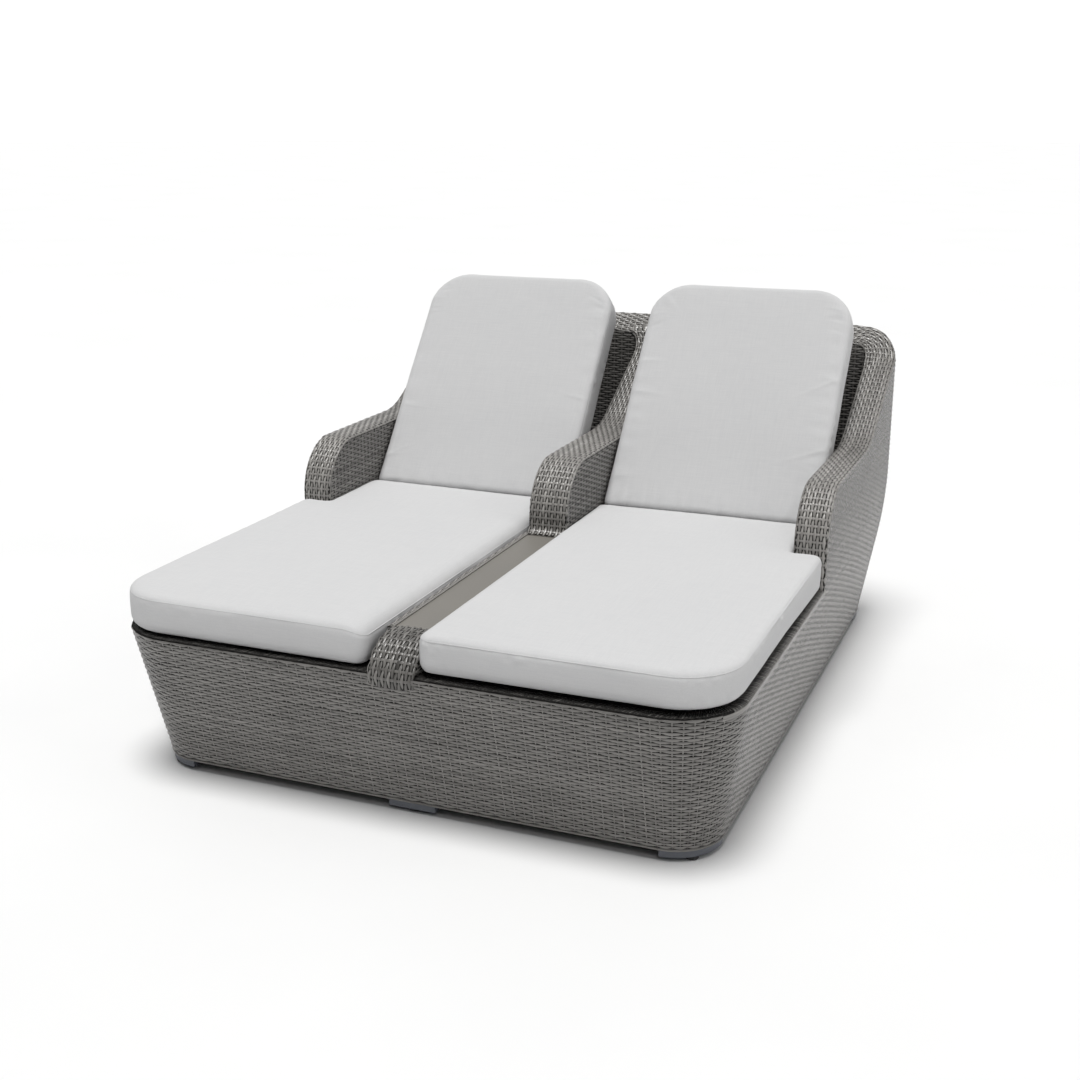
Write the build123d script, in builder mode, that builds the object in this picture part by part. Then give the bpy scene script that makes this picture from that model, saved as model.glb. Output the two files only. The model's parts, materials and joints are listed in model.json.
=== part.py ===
from build123d import *
import os
from math import atan2, cos, degrees, radians, sin, sqrt

os.makedirs("parts", exist_ok=True)

# Double chaise lounger: two seats side by side in one woven shell, a console
# tray between them, and two reclining backrests held by notched props.
# Millimetres. X runs across the lounger (+X on the right of someone looking at
# its foot end), +Y runs from the foot end to the back, +Z is up.
# The origin is on the floor below the middle of the whole object.

# ---------------------------------------------------------------- dimensions
half_width = 775.0        # outer faces of the arms
front_y = -992.0          # foot end of the woven body, at the rim
rear_y = 992.0            # back of the shell
skirt_z = 29.0            # lower edge of the weave
rim_z = 378.0             # ledge round the seat cushions
skirt_side_in = 56.0      # how far the body tapers in at its lower edge
skirt_front_in = 90.0
skirt_rear_in = 87.0
rim_front_r = 170.0       # corner radii of the plan, at the rim
rim_rear_r = 70.0
skirt_front_r = 116.0     # and at the lower edge
skirt_rear_r = 55.0
weave_t = 4.0             # thickness of a woven skin

arm_in = 690.0            # inner face of an outer arm
mid_arm = 55.0            # half width of the middle arm
arm_front_y = -40.0
arm_top_z = 636.0
arm_nose_r = 150.0        # rounded front of an arm
wing_z0, wing_y0 = 689.8, 638.4      # a point on the rising wing
wing_slope = 0.5405
shell_in_y = 914.0        # inner face of the shell's back
shell_in_z = 872.0        # top band of the shell: inner edge
shell_top_z = 922.0       # and outer edge
shell_corner_r = 105.0    # seen from the front

tube = 25.0               # square aluminium tube
tube_wall = 2.0

console_half = 57.0       # console between the two seats
console_top = 447.0
tray_half = 50.0
tray_z = 445.0
tray_t = 3.0
tray_front_y = -865.0
tray_back_y = -46.0

seat_z0 = rim_z + 0.4     # seat cushions
seat_z1 = 477.0
seat_in_x = 62.0
seat_out_x = 766.0
seat_bay_x = 686.5        # outer side of the cushion between the arms
seat_front_y = -976.0
seat_back_y = 236.0
seat_corner_r = 145.0

back_angle = 52.0         # backrest at rest, from the horizontal
foot_y, foot_z = 239.3, 469.8        # lower front edge of a back cushion
back_x = 373.0            # middle of each backrest
back_half = 305.0         # half width of a back cushion
back_len = 751.0
back_t = 97.0
back_corner_r = 116.0

hinge_y, hinge_z = 309.0, 363.0      # backrest hinge axis, parallel to X
pin_r = 4.0
pin_gap = 0.1
recline = 12.0            # travel of a backrest, degrees
prop_len = 300.0          # pivot to foot bar, and hinge to pivot
prop_r = 6.0
prop_half = 170.0         # half distance between the legs of a prop

# ---------------------------------------------------------------- helpers


def plan(z, inset=0.0):
    """Outline of the woven body seen from above, at height z."""
    f = min((z - skirt_z) / (rim_z - skirt_z), 1.0)
    hx = half_width - skirt_side_in * (1 - f) - inset
    y0 = front_y + skirt_front_in * (1 - f) + inset
    y1 = rear_y - skirt_rear_in * (1 - f) - inset
    rf = skirt_front_r + (rim_front_r - skirt_front_r) * f - inset
    rr = skirt_rear_r + (rim_rear_r - skirt_rear_r) * f - inset
    with BuildSketch(Plane.XY.offset(z)) as s:
        with Locations((0, (y0 + y1) / 2)):
            Rectangle(2 * hx, y1 - y0)
        fillet(s.vertices().group_by(Axis.Y)[0], rf)
        fillet(s.vertices().group_by(Axis.Y)[-1], rr)
    return s.sketch


def arm_profile(inset=0.0, x=0.0):
    """Side view of the arms and the shell above them, in a plane across X."""
    wing_foot = wing_y0 - (wing_z0 - arm_top_z) / wing_slope
    wing_end_y = shell_in_y - 39.0
    wing_end_z = wing_z0 + wing_slope * (wing_end_y - wing_y0)
    with BuildSketch(Plane.YZ.offset(x)) as s:
        with BuildLine() as b:
            Line((arm_front_y, 300), (arm_front_y, arm_top_z - arm_nose_r))
            RadiusArc(
                (arm_front_y, arm_top_z - arm_nose_r),
                (arm_front_y + arm_nose_r, arm_top_z),
                arm_nose_r,
            )
            Polyline(
                (arm_front_y + arm_nose_r, arm_top_z),
                (wing_foot, arm_top_z),
                (wing_end_y, wing_end_z),
                (shell_in_y, shell_in_z),
                (rear_y, shell_top_z),
                (rear_y + 30, shell_top_z),
                (rear_y + 30, 300),
                (arm_front_y, 300),
            )
        make_face()
        near = s.vertices().sort_by_distance(Vector(wing_foot, arm_top_z))[0]
        fillet(near, 237)
        near = s.vertices().sort_by_distance(Vector(wing_end_y, wing_end_z))[0]
        fillet(near, 40)
        near = s.vertices().sort_by_distance(Vector(shell_in_y, shell_in_z))[0]
        fillet(near, 40)
        if inset:
            offset(s.faces()[0], -inset, kind=Kind.INTERSECTION, mode=Mode.REPLACE)
    return s.sketch


def front_outline(inset=0.0):
    """Front view of the shell, with its rounded upper corners."""
    with BuildSketch(Plane.XZ) as s:
        with Locations((0, (300 + shell_top_z - inset) / 2)):
            Rectangle(2 * (half_width - inset), shell_top_z - inset - 300)
        fillet(s.vertices().group_by(Axis.Y)[-1], shell_corner_r - inset)
    return s.sketch


def block(x0, x1, y0, y1, z0, z1, mode=Mode.ADD):
    """A box between two corners, in the part being built."""
    with Locations(((x0 + x1) / 2, (y0 + y1) / 2, (z0 + z1) / 2)):
        Box(x1 - x0, y1 - y0, z1 - z0, mode=mode)


def bar(x0, x1, y0, y1, z0, z1, along):
    """A square tube with closed walls and open ends along one axis."""
    w = tube_wall
    block(x0, x1, y0, y1, z0, z1)
    gx, gy, gz = (0 if along == a else w for a in "XYZ")
    ex, ey, ez = (1 if along == a else 0 for a in "XYZ")
    block(
        x0 + gx - ex, x1 - gx + ex, y0 + gy - ey, y1 - gy + ey,
        z0 + gz - ez, z1 - gz + ez, mode=Mode.SUBTRACT,
    )


def out(name, piece):
    piece.label = name
    export_step(piece, f"parts/{name}.step")


# The backrest's own directions: s runs up the backrest, n stands out of its
# front face. Both lie in the plane across X.
s_dir = Vector(0, cos(radians(back_angle)), sin(radians(back_angle)))
n_dir = Vector(0, -sin(radians(back_angle)), cos(radians(back_angle)))


def back_plane(n):
    """Plane parallel to the backrest, n in front of the cushion's front face.
    Its x runs across the lounger and its y runs up the backrest."""
    o = Vector(0, foot_y, foot_z) + n_dir * n
    return Plane(origin=o, x_dir=(1, 0, 0), z_dir=n_dir)


def back_point(s, n):
    """(y, z) of a point s up the backrest and n in front of the cushion."""
    p = Vector(0, foot_y, foot_z) + s_dir * s + n_dir * n
    return p.Y, p.Z


# ---------------------------------------------------------------- envelopes
with BuildPart() as body_outer:
    loft(sections=[plan(skirt_z), plan(rim_z)], ruled=True)

with BuildPart() as body_inner:
    loft(sections=[plan(skirt_z, weave_t), plan(rim_z, weave_t)], ruled=True)

with BuildPart() as core:
    extrude(plan(rim_z, weave_t), amount=700, both=True)

with BuildPart() as top_outer:
    extrude(plan(rim_z), amount=700)
    extrude(arm_profile(), amount=900, both=True, mode=Mode.INTERSECT)
    extrude(front_outline(), amount=1100, both=True, mode=Mode.INTERSECT)

with BuildPart() as top_inner:
    extrude(plan(rim_z), amount=700, both=True)
    extrude(arm_profile(weave_t), amount=900, both=True, mode=Mode.INTERSECT)
    extrude(front_outline(weave_t), amount=1100, both=True, mode=Mode.INTERSECT)

# The woven top faces of the arms and the shell, before they are parted.
with BuildPart() as caps:
    add(top_outer.part)
    add(top_inner.part, mode=Mode.SUBTRACT)
    add(core.part, mode=Mode.INTERSECT)

# The upright outer walls above the rim.
with BuildPart() as walls:
    add(top_outer.part)
    add(core.part, mode=Mode.SUBTRACT)

# The tapered skirt below the rim.
with BuildPart() as skirt:
    add(body_outer.part)
    add(body_inner.part, mode=Mode.SUBTRACT)

corner_y = -780.0         # seam between the front panel and the side panels
rear_seam_y = 900.0       # seam between the side panels and the rear panel

# ---------------------------------------------------------------- woven skins
with BuildPart() as front_woven_panel:
    add(skirt.part)
    block(-900, 900, -1100, corner_y, 0, 900, mode=Mode.INTERSECT)
out("front_woven_panel", front_woven_panel.part)

with BuildPart() as right_side_woven_panel:
    add(skirt.part)
    add(walls.part)
    block(300, 900, corner_y, rear_seam_y, 0, 1100, mode=Mode.INTERSECT)
out("right_side_woven_panel", right_side_woven_panel.part)

with BuildPart() as left_side_woven_panel:
    add(skirt.part)
    add(walls.part)
    block(-900, -300, corner_y, rear_seam_y, 0, 1100, mode=Mode.INTERSECT)
out("left_side_woven_panel", left_side_woven_panel.part)

with BuildPart() as rear_woven_panel:
    add(skirt.part)
    add(walls.part)
    block(-900, 900, rear_seam_y, 1100, 0, 1100, mode=Mode.INTERSECT)
out("rear_woven_panel", rear_woven_panel.part)

band_end_y = 870.0        # where an arm's band meets the shell's top band

with BuildPart() as right_arm_woven_band:
    add(caps.part)
    block(arm_in, 900, -200, band_end_y, rim_z, 1100, mode=Mode.INTERSECT)
out("right_arm_woven_band", right_arm_woven_band.part)

with BuildPart() as left_arm_woven_band:
    add(caps.part)
    block(-900, -arm_in, -200, band_end_y, rim_z, 1100, mode=Mode.INTERSECT)
out("left_arm_woven_band", left_arm_woven_band.part)

with BuildPart() as shell_top_woven_band:
    add(caps.part)
    block(-900, 900, band_end_y, 1100, rim_z, 1100, mode=Mode.INTERSECT)
    block(-arm_in, arm_in, 0, shell_in_y, rim_z - 10, 1100, mode=Mode.SUBTRACT)
out("shell_top_woven_band", shell_top_woven_band.part)

with BuildPart() as middle_arm_woven_cover:
    add(caps.part)
    block(-mid_arm, mid_arm, -200, shell_in_y, rim_z, 1100, mode=Mode.INTERSECT)
    for side in (-1, 1):
        x0 = side * mid_arm if side < 0 else mid_arm - weave_t
        extrude(arm_profile(weave_t, x0), amount=weave_t)
    block(-mid_arm, mid_arm, -200, shell_in_y, rim_z, 1100, mode=Mode.INTERSECT)
out("middle_arm_woven_cover", middle_arm_woven_cover.part)

for name, x0 in (
    ("right_arm_inner_woven_panel", arm_in),
    ("left_arm_inner_woven_panel", -arm_in - weave_t),
):
    with BuildPart() as inner_panel:
        extrude(arm_profile(weave_t, x0), amount=weave_t)
        block(-900, 900, -200, shell_in_y, rim_z, 1100, mode=Mode.INTERSECT)
    out(name, inner_panel.part)

back_panel_z0 = 362.0
for name, x0, x1 in (
    ("right_inner_back_woven_panel", mid_arm, arm_in),
    ("left_inner_back_woven_panel", -arm_in, -mid_arm),
):
    with BuildPart() as inner_back:
        block(x0, x1, shell_in_y, shell_in_y + weave_t, back_panel_z0, 1100)
        add(top_inner.part, mode=Mode.INTERSECT)
    out(name, inner_back.part)

# Seat decks: a woven panel under each seat cushion. Its edge shows as the
# narrow ledge round the cushion.
deck_t = 5.0
deck_back_y = 288.0
for name, side in (("right_seat_deck", 1), ("left_seat_deck", -1)):
    with BuildPart() as deck:
        extrude(plan(rim_z - deck_t, weave_t + 0.6), amount=deck_t)
        xs = sorted((side * console_half, side * 900))
        block(xs[0], xs[1], -1100, arm_front_y - 0.5, 0, 900, mode=Mode.INTERSECT)
        xs = sorted((side * mid_arm, side * (arm_in - 0.2)))
        block(xs[0], xs[1], arm_front_y - 0.5, deck_back_y, rim_z - deck_t, rim_z)
    out(name, deck.part)

# Console: woven side walls with a lip above the tray, and a rounded woven nose
# at the foot end.
nose_r = 66.0
with BuildPart() as console_woven_wrap:
    with BuildSketch(Plane.YZ) as side_view:
        with BuildLine() as edge:
            Line((arm_front_y - 0.5, rim_z), (arm_front_y - 0.5, console_top))
            Line((arm_front_y - 0.5, console_top), (tray_front_y - 6, console_top))
            Spline(
                (tray_front_y - 6, console_top),
                (-931, 437), (-967, 413), (-986, rim_z),
                tangents=[(-1, 0), (-0.25, -1)],
            )
            Line((-986, rim_z), (arm_front_y - 0.5, rim_z))
        make_face()
    extrude(amount=console_half, both=True)
    with BuildSketch(Plane.YZ) as hollow_view:
        with BuildLine() as hollow_edge:
            Polyline(
                (arm_front_y - 4.5, rim_z - 1), (arm_front_y - 4.5, console_top + 1),
                (tray_front_y, console_top + 1), (tray_front_y, 439),
            )
            Spline(
                (tray_front_y, 439), (-928, 431.5), (-961, 409), (-979, rim_z - 1),
                tangents=[(-1, 0), (-0.25, -1)],
            )
            Line((-979, rim_z - 1), (arm_front_y - 4.5, rim_z - 1))
        make_face()
    extrude(amount=tray_half + 0.6, both=True, mode=Mode.SUBTRACT)
out("console_woven_wrap", console_woven_wrap.part)

with BuildPart() as console_tray:
    with BuildSketch(Plane.XY.offset(tray_z - tray_t)) as tray_face:
        with Locations((0, (tray_front_y + tray_back_y) / 2)):
            RectangleRounded(2 * tray_half, tray_back_y - tray_front_y - 0.6, 4)
    extrude(amount=tray_t)
out("console_tray", console_tray.part)

with BuildPart() as console_channel:
    block(-46, 46, -858, -48, rim_z - deck_t, tray_z - tray_t)
    block(-43, 43, -859, -47, rim_z - deck_t - 1, tray_z - tray_t - 3, mode=Mode.SUBTRACT)
out("console_channel", console_channel.part)

# ---------------------------------------------------------------- base frame
def skirt_in(z, margin):
    """Half width, front and rear of the space inside the skirt at height z."""
    f = (z - skirt_z) / (rim_z - skirt_z)
    return (
        half_width - skirt_side_in * (1 - f) - margin,
        front_y + skirt_front_in * (1 - f) + margin,
        rear_y - skirt_rear_in * (1 - f) - margin,
    )


def corner_bend(z, side, radius, margin):
    """A quarter turn of square tube in a front corner of the frame."""
    hx, y0, _ = skirt_in(z, margin)
    cx, cy = side * (hx - radius), y0 + radius
    with BuildSketch(Plane.XY.offset(z)) as s:
        with Locations((cx, cy)):
            Circle(radius)
            Circle(radius - tube, mode=Mode.SUBTRACT)
            with Locations((side * radius / 2, -radius / 2)):
                Rectangle(radius, radius, mode=Mode.INTERSECT)
    return s.sketch


def corner_bore(z, side, radius, margin):
    hx, y0, _ = skirt_in(z, margin)
    cx, cy = side * (hx - radius), y0 + radius
    with BuildSketch(Plane.XY.offset(z + tube_wall)) as s:
        with Locations((cx, cy)):
            Circle(radius - tube_wall)
            Circle(radius - tube + tube_wall, mode=Mode.SUBTRACT)
            with Locations((side * (radius + 4) / 2, -(radius + 4) / 2)):
                Rectangle(radius + 8, radius + 8, mode=Mode.INTERSECT)
    return s.sketch


frame_levels = (
    # name, z of the tube's lower face, bend radius, clearance to the outside
    ("base", skirt_z + 1.0, skirt_front_r - 6.0, 6.0),
    ("rim", rim_z - deck_t - tube - 0.3, rim_front_r - 12.0, 10.0),
)
for level, z, bend_r, margin in frame_levels:
    hx, y0, y1 = skirt_in(z, margin)
    with BuildPart() as rail:
        bar(-hx + bend_r, hx - bend_r, y0, y0 + tube, z, z + tube, "X")
    out(f"{level}_front_rail", rail.part)
    with BuildPart() as rail:
        bar(-hx + 60, hx - 60, y1 - tube, y1, z, z + tube, "X")
    out(f"{level}_rear_rail", rail.part)
    for name, side in (("right", 1), ("left", -1)):
        with BuildPart() as rail:
            xs = sorted((side * hx, side * (hx - tube)))
            bar(xs[0], xs[1], y0 + bend_r, y1 - 60, z, z + tube, "Y")
        out(f"{level}_{name}_rail", rail.part)
        with BuildPart() as bend:
            extrude(corner_bend(z, side, bend_r, margin), amount=tube)
            extrude(
                corner_bore(z, side, bend_r, margin),
                amount=tube - 2 * tube_wall, mode=Mode.SUBTRACT,
            )
        out(f"{level}_{name}_corner_bend", bend.part)

base_top = skirt_z + 1.0 + tube
rim_bottom = rim_z - deck_t - tube - 0.3
up0, up1 = base_top, rim_bottom

hx, y0, y1 = skirt_in(skirt_z + 1.0, 6.0)
with BuildPart() as front_uprights:
    for x in (-560.0, 0.0, 560.0):
        bar(x - tube / 2, x + tube / 2, y0, y0 + tube, up0, up1, "Z")
out("front_uprights", front_uprights.part)

with BuildPart() as side_uprights:
    for side in (-1, 1):
        for y in (-40.0, 700.0):
            xs = sorted((side * hx, side * (hx - tube)))
            bar(xs[0], xs[1], y, y + tube, up0, up1, "Z")
out("side_uprights", side_uprights.part)

with BuildPart() as rear_uprights:
    for x in (-560.0, 0.0, 560.0):
        bar(x - tube / 2, x + tube / 2, y1 - tube, y1, up0, up1, "Z")
out("rear_uprights", rear_uprights.part)

# Cross tubes: one under the middle of the seats, one that carries the hinges.
rim_hx, rim_y0, rim_y1 = skirt_in(rim_bottom, 10.0)
with BuildPart() as seat_cross_rail:
    bar(-rim_hx + tube, rim_hx - tube, -330, -330 + tube,
        rim_bottom, rim_bottom + tube, "X")
out("seat_cross_rail", seat_cross_rail.part)

hinge_rail_z1 = 333.0
with BuildPart() as hinge_cross_rail:
    bar(-rim_hx + tube, rim_hx - tube, hinge_y - tube / 2, hinge_y + tube / 2,
        hinge_rail_z1 - tube, hinge_rail_z1, "X")
out("hinge_cross_rail", hinge_cross_rail.part)

# Frames inside the arms: a post and a top tube that follows the arm.
for name, x in (("right", 732.0), ("middle", 0.0), ("left", -732.0)):
    with BuildPart() as arm_frame:
        extrude(arm_profile(8.0, x - tube / 2), amount=tube)
        extrude(arm_profile(8.0 + tube, x - tube / 2 - 1), amount=tube + 2,
                mode=Mode.SUBTRACT)
        block(x - tube / 2, x + tube / 2, -40, 860, rim_bottom + tube + 0.3, 900,
              mode=Mode.INTERSECT)
    out(f"{name}_arm_frame", arm_frame.part)

with BuildPart() as shell_top_rail:
    bar(-640, 640, 938, 938 + tube, 846, 846 + tube, "X")
    for x in (-600.0, 0.0, 600.0):
        block(x - tube / 2, x + tube / 2, 938, 938 + tube, rim_bottom + tube, 846)
out("shell_top_frame", shell_top_rail.part)

# ---------------------------------------------------------------- feet
foot_t = 18.0
glide_h = skirt_z - foot_t
with BuildPart() as corner_foot_plates:
    for end in (-1, 1):
        for side in (-1, 1):
            with BuildSketch(Plane.XY.offset(glide_h)) as corner_foot:
                with Locations((0, (front_y + skirt_front_in + rear_y - skirt_rear_in) / 2)):
                    Rectangle(
                        2 * (half_width - skirt_side_in - 1.0),
                        rear_y - skirt_rear_in - front_y - skirt_front_in - 2.0,
                    )
                fillet(corner_foot.vertices().group_by(Axis.Y)[0], skirt_front_r)
                fillet(corner_foot.vertices().group_by(Axis.Y)[-1], skirt_rear_r)
                with Locations((side * (604 + 60), end * 849)):
                    Rectangle(120, 122, mode=Mode.INTERSECT)
            extrude(amount=foot_t)
out("corner_foot_plates", corner_foot_plates.part)

with BuildPart() as middle_foot_plates:
    for end in (-1, 1):
        with BuildSketch(Plane.XY.offset(glide_h)) as mid_foot:
            with Locations((0, end * 872)):
                RectangleRounded(120, 58, 3)
        extrude(amount=foot_t)
out("middle_foot_plates", middle_foot_plates.part)

glide_spots = [(sx * 668, sy * 858) for sx in (-1, 1) for sy in (-1, 1)]
glide_spots += [(0, -878), (0, 878)]
glide_r = 15.0
with BuildPart() as floor_glides:
    with BuildSketch(Plane.XY) as glide_face:
        with Locations(*glide_spots):
            Circle(glide_r)
    extrude(amount=glide_h)
    fillet(floor_glides.edges().group_by(Axis.Z)[0], 2.0)
out("floor_glides", floor_glides.part)

# ---------------------------------------------------------------- cushions
for name, side in (("right_seat_cushion", 1), ("left_seat_cushion", -1)):
    with BuildPart() as seat_cushion:
        with BuildSketch(Plane.XY.offset(seat_z0)) as seat_plan:
            with BuildLine() as seat_edge:
                Polyline(
                    (side * seat_in_x, seat_front_y),
                    (side * seat_out_x, seat_front_y),
                    (side * seat_out_x, arm_front_y - 3),
                    (side * seat_bay_x, arm_front_y - 3),
                    (side * seat_bay_x, seat_back_y),
                    (side * seat_in_x, seat_back_y),
                    (side * seat_in_x, seat_front_y),
                )
            make_face()
            corner = seat_plan.vertices().sort_by_distance(
                Vector(side * seat_out_x, seat_front_y))[0]
            fillet(corner, seat_corner_r)
            corner = seat_plan.vertices().sort_by_distance(
                Vector(side * seat_in_x, seat_front_y))[0]
            fillet(corner, 28)
            corner = seat_plan.vertices().sort_by_distance(
                Vector(side * seat_out_x, arm_front_y - 3))[0]
            fillet(corner, 18)
        extrude(amount=seat_z1 - seat_z0)
        chamfer(seat_cushion.faces().sort_by(Axis.Z)[-1].edges(), 7)
    out(name, seat_cushion.part)

for name, side in (("right", 1), ("left", -1)):
    xc = side * back_x
    with BuildPart() as back_cushion:
        with BuildSketch(back_plane(-back_t)) as back_face:
            with Locations((xc, back_len / 2)):
                Rectangle(2 * back_half, back_len)
            fillet(back_face.vertices().group_by(Axis.Y)[-1], back_corner_r)
            fillet(back_face.vertices().group_by(Axis.Y)[0], 24)
        extrude(amount=back_t)
        chamfer(back_cushion.faces().sort_by(Axis(origin=(0, 0, 0), direction=n_dir))[-1].edges(), 8)
    out(f"{name}_back_cushion", back_cushion.part)

# ---------------------------------------------------------------- backrests
frame_half = 283.0
frame_t = 22.0
rail_w = 25.0
panel_front = -back_t - 0.3       # n of the frame's front face
panel_back = panel_front - frame_t
frame_s0, frame_s1 = -25.4, 727.0
hinge_dx = 230.0
lug_half = 12.0
lug_r = 11.0
lip_len = 52.0

# where the hinge axis lies in the backrest's own directions
rel = Vector(0, hinge_y - foot_y, hinge_z - foot_z)
hinge_s, hinge_n = rel.dot(s_dir), rel.dot(n_dir)
pivot_n = panel_back - 14.0
pivot_s = hinge_s + sqrt(prop_len**2 - (pivot_n - hinge_n) ** 2)
pivot_y, pivot_z = back_point(pivot_s, pivot_n)
prop_foot_y = hinge_y + 2 * (pivot_y - hinge_y)



def frame_outline(xc, inset):
    """Outline of a backrest, rounded at its top, in the backrest's plane."""
    with BuildSketch(Plane.XY) as s:
        with Locations((xc, (frame_s0 + frame_s1) / 2)):
            Rectangle(2 * (frame_half - inset), frame_s1 - frame_s0 - 2 * inset)
        fillet(s.vertices().group_by(Axis.Y)[-1], 95 - inset)
        fillet(s.vertices().group_by(Axis.Y)[0], max(30 - inset, 4))
    return s.sketch_local


for name, side in (("right", 1), ("left", -1)):
    xc = side * back_x
    with BuildPart() as backrest_frame:
        # bent perimeter tube
        with BuildSketch(back_plane(panel_back)) as perimeter:
            add(frame_outline(xc, 0))
            add(frame_outline(xc, rail_w), mode=Mode.SUBTRACT)
            # cross rail that carries the prop
            with Locations((xc, pivot_s)):
                Rectangle(2 * (frame_half - rail_w) + 2, 30)
        extrude(amount=frame_t - 4.6)
        with BuildSketch(back_plane(panel_back)) as ring:
            add(frame_outline(xc, 0))
            add(frame_outline(xc, rail_w), mode=Mode.SUBTRACT)
        extrude(amount=frame_t)
        # ledge under the cushion
        with BuildSketch(Plane.YZ.offset(xc - 200)) as ledge:
            with BuildLine() as ledge_edge:
                Polyline(
                    back_point(-0.6, panel_front - 2), back_point(-0.6, panel_front + lip_len),
                    back_point(-4.6, panel_front + lip_len), back_point(-4.6, panel_front - 2),
                    back_point(-0.6, panel_front - 2),
                )
            make_face()
        extrude(amount=400)
        # hinge lugs
        for dx in (-hinge_dx, hinge_dx):
            with BuildSketch(Plane.YZ.offset(xc + dx - lug_half)) as lug:
                with Locations((hinge_y, hinge_z)):
                    Circle(lug_r)
                with BuildLine() as lug_edge:
                    Polyline(
                        back_point(hinge_s, hinge_n - lug_r + 2),
                        back_point(frame_s0 + 3, hinge_n - lug_r + 2),
                        back_point(frame_s0 + 3, panel_front - 4),
                        back_point(hinge_s, hinge_n + lug_r - 1),
                        back_point(hinge_s, hinge_n - lug_r + 2),
                    )
                make_face()
                with Locations((hinge_y, hinge_z)):
                    Circle(pin_r + pin_gap, mode=Mode.SUBTRACT)
            extrude(amount=2 * lug_half)
        # eyes for the ends of the prop
        for end in (-1, 1):
            x0 = xc + end * (prop_half + 14) - 4
            with BuildSketch(Plane.YZ.offset(x0)) as eye:
                with BuildLine() as eye_edge:
                    Polyline(
                        back_point(pivot_s - 11, panel_back + 2),
                        back_point(pivot_s - 11, pivot_n),
                        back_point(pivot_s + 11, pivot_n),
                        back_point(pivot_s + 11, panel_back + 2),
                        back_point(pivot_s - 11, panel_back + 2),
                    )
                make_face()
                with Locations((pivot_y, pivot_z)):
                    Circle(11)
                    Circle(prop_r + pin_gap, mode=Mode.SUBTRACT)
            extrude(amount=8)
    out(f"{name}_backrest_frame", backrest_frame.part)

    with BuildPart() as backrest_weave:
        with BuildSketch(back_plane(panel_front - 4.2)) as weave_face:
            add(frame_outline(xc, rail_w + 0.3))
        extrude(amount=4.0)
    out(f"{name}_backrest_woven_panel", backrest_weave.part)

    # prop: a U of round bar whose ends turn outwards into the eyes, and whose
    # foot bar rests on the two notched rails
    with BuildPart() as prop:
        with BuildLine() as path:
            xa, xb = xc - prop_half, xc + prop_half
            FilletPolyline(
                (xa - 19, pivot_y, pivot_z), (xa, pivot_y, pivot_z),
                (xa, prop_foot_y, hinge_z), (xb, prop_foot_y, hinge_z),
                (xb, pivot_y, pivot_z), (xb + 19, pivot_y, pivot_z),
                radius=[7.5, 16, 16, 7.5],
            )
        with BuildSketch(Plane(origin=path.line @ 0, z_dir=path.line % 0)):
            Circle(prop_r)
        sweep()
    out(f"{name}_prop_bar", prop.part)

    # notched rails for the prop
    crest_z = hinge_z - prop_r - 0.5
    pivot_angle = degrees(atan2(pivot_z - hinge_z, pivot_y - hinge_y))
    for which, dx in (("inner", -140.0), ("outer", 140.0)):
        x0 = xc + side * dx - 5
        with BuildPart() as rack:
            with BuildSketch(Plane.YZ.offset(x0)) as rack_side:
                with BuildLine() as rack_edge:
                    y_a, y_b = hinge_y + tube / 2, rim_y1 - tube
                    Polyline(
                        (y_a, crest_z - 34), (y_b, crest_z - 34), (y_b, crest_z - 16),
                        (840, crest_z - 16), (824, crest_z), (664, crest_z),
                        (648, crest_z - 24), (y_a, crest_z - 24), (y_a, crest_z - 34),
                    )
                make_face()
                for step in (0.0, recline / 2, recline):
                    y = hinge_y + 2 * prop_len * cos(radians(pivot_angle - step))
                    with Locations((y, crest_z + 0.5)):
                        Circle(prop_r + 0.6, mode=Mode.SUBTRACT)
            extrude(amount=10)
        out(f"{name}_{which}_notched_rail", rack.part)

# ---------------------------------------------------------------- hinges
bracket_gap = 0.4
cheek_t = 3.0
with BuildPart() as hinge_brackets:
    for side in (-1, 1):
        for dx in (-hinge_dx, hinge_dx):
            x = side * back_x + dx
            reach = lug_half + bracket_gap + cheek_t
            block(x - reach, x + reach, hinge_y - 12, hinge_y + 12,
                  hinge_rail_z1, hinge_rail_z1 + 3)
            for x0 in (x - reach, x + reach - cheek_t):
                with BuildSketch(Plane.YZ.offset(x0)) as cheek:
                    with Locations((hinge_y, (hinge_rail_z1 + hinge_z) / 2)):
                        Rectangle(24, hinge_z - hinge_rail_z1)
                    with Locations((hinge_y, hinge_z)):
                        Circle(12)
                        Circle(pin_r + 0.05, mode=Mode.SUBTRACT)
                extrude(amount=cheek_t)
out("hinge_brackets", hinge_brackets.part)

with BuildPart() as hinge_pins:
    for side in (-1, 1):
        for dx in (-hinge_dx, hinge_dx):
            x = side * back_x + dx
            reach = lug_half + bracket_gap + cheek_t
            with BuildSketch(Plane.YZ.offset(x - reach - 0.2)) as shank:
                with Locations((hinge_y, hinge_z)):
                    Circle(pin_r)
            extrude(amount=2 * reach + 0.4)
            for x0 in (x - reach - 2.7, x + reach + 0.2):
                with BuildSketch(Plane.YZ.offset(x0)) as head:
                    with Locations((hinge_y, hinge_z)):
                        Circle(7)
                extrude(amount=2.5)
out("hinge_pins", hinge_pins.part)

print("hinge in backrest directions: s %.2f n %.2f" % (hinge_s, hinge_n))
print("prop pivot y %.2f z %.2f, foot y %.2f" % (pivot_y, pivot_z, prop_foot_y))
print("pivot angle %.3f" % degrees(atan2(pivot_z - hinge_z, pivot_y - hinge_y)))
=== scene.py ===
import json
import math

import bmesh
import bpy
import numpy as np
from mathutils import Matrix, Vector
from mathutils.bvhtree import BVHTree

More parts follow.
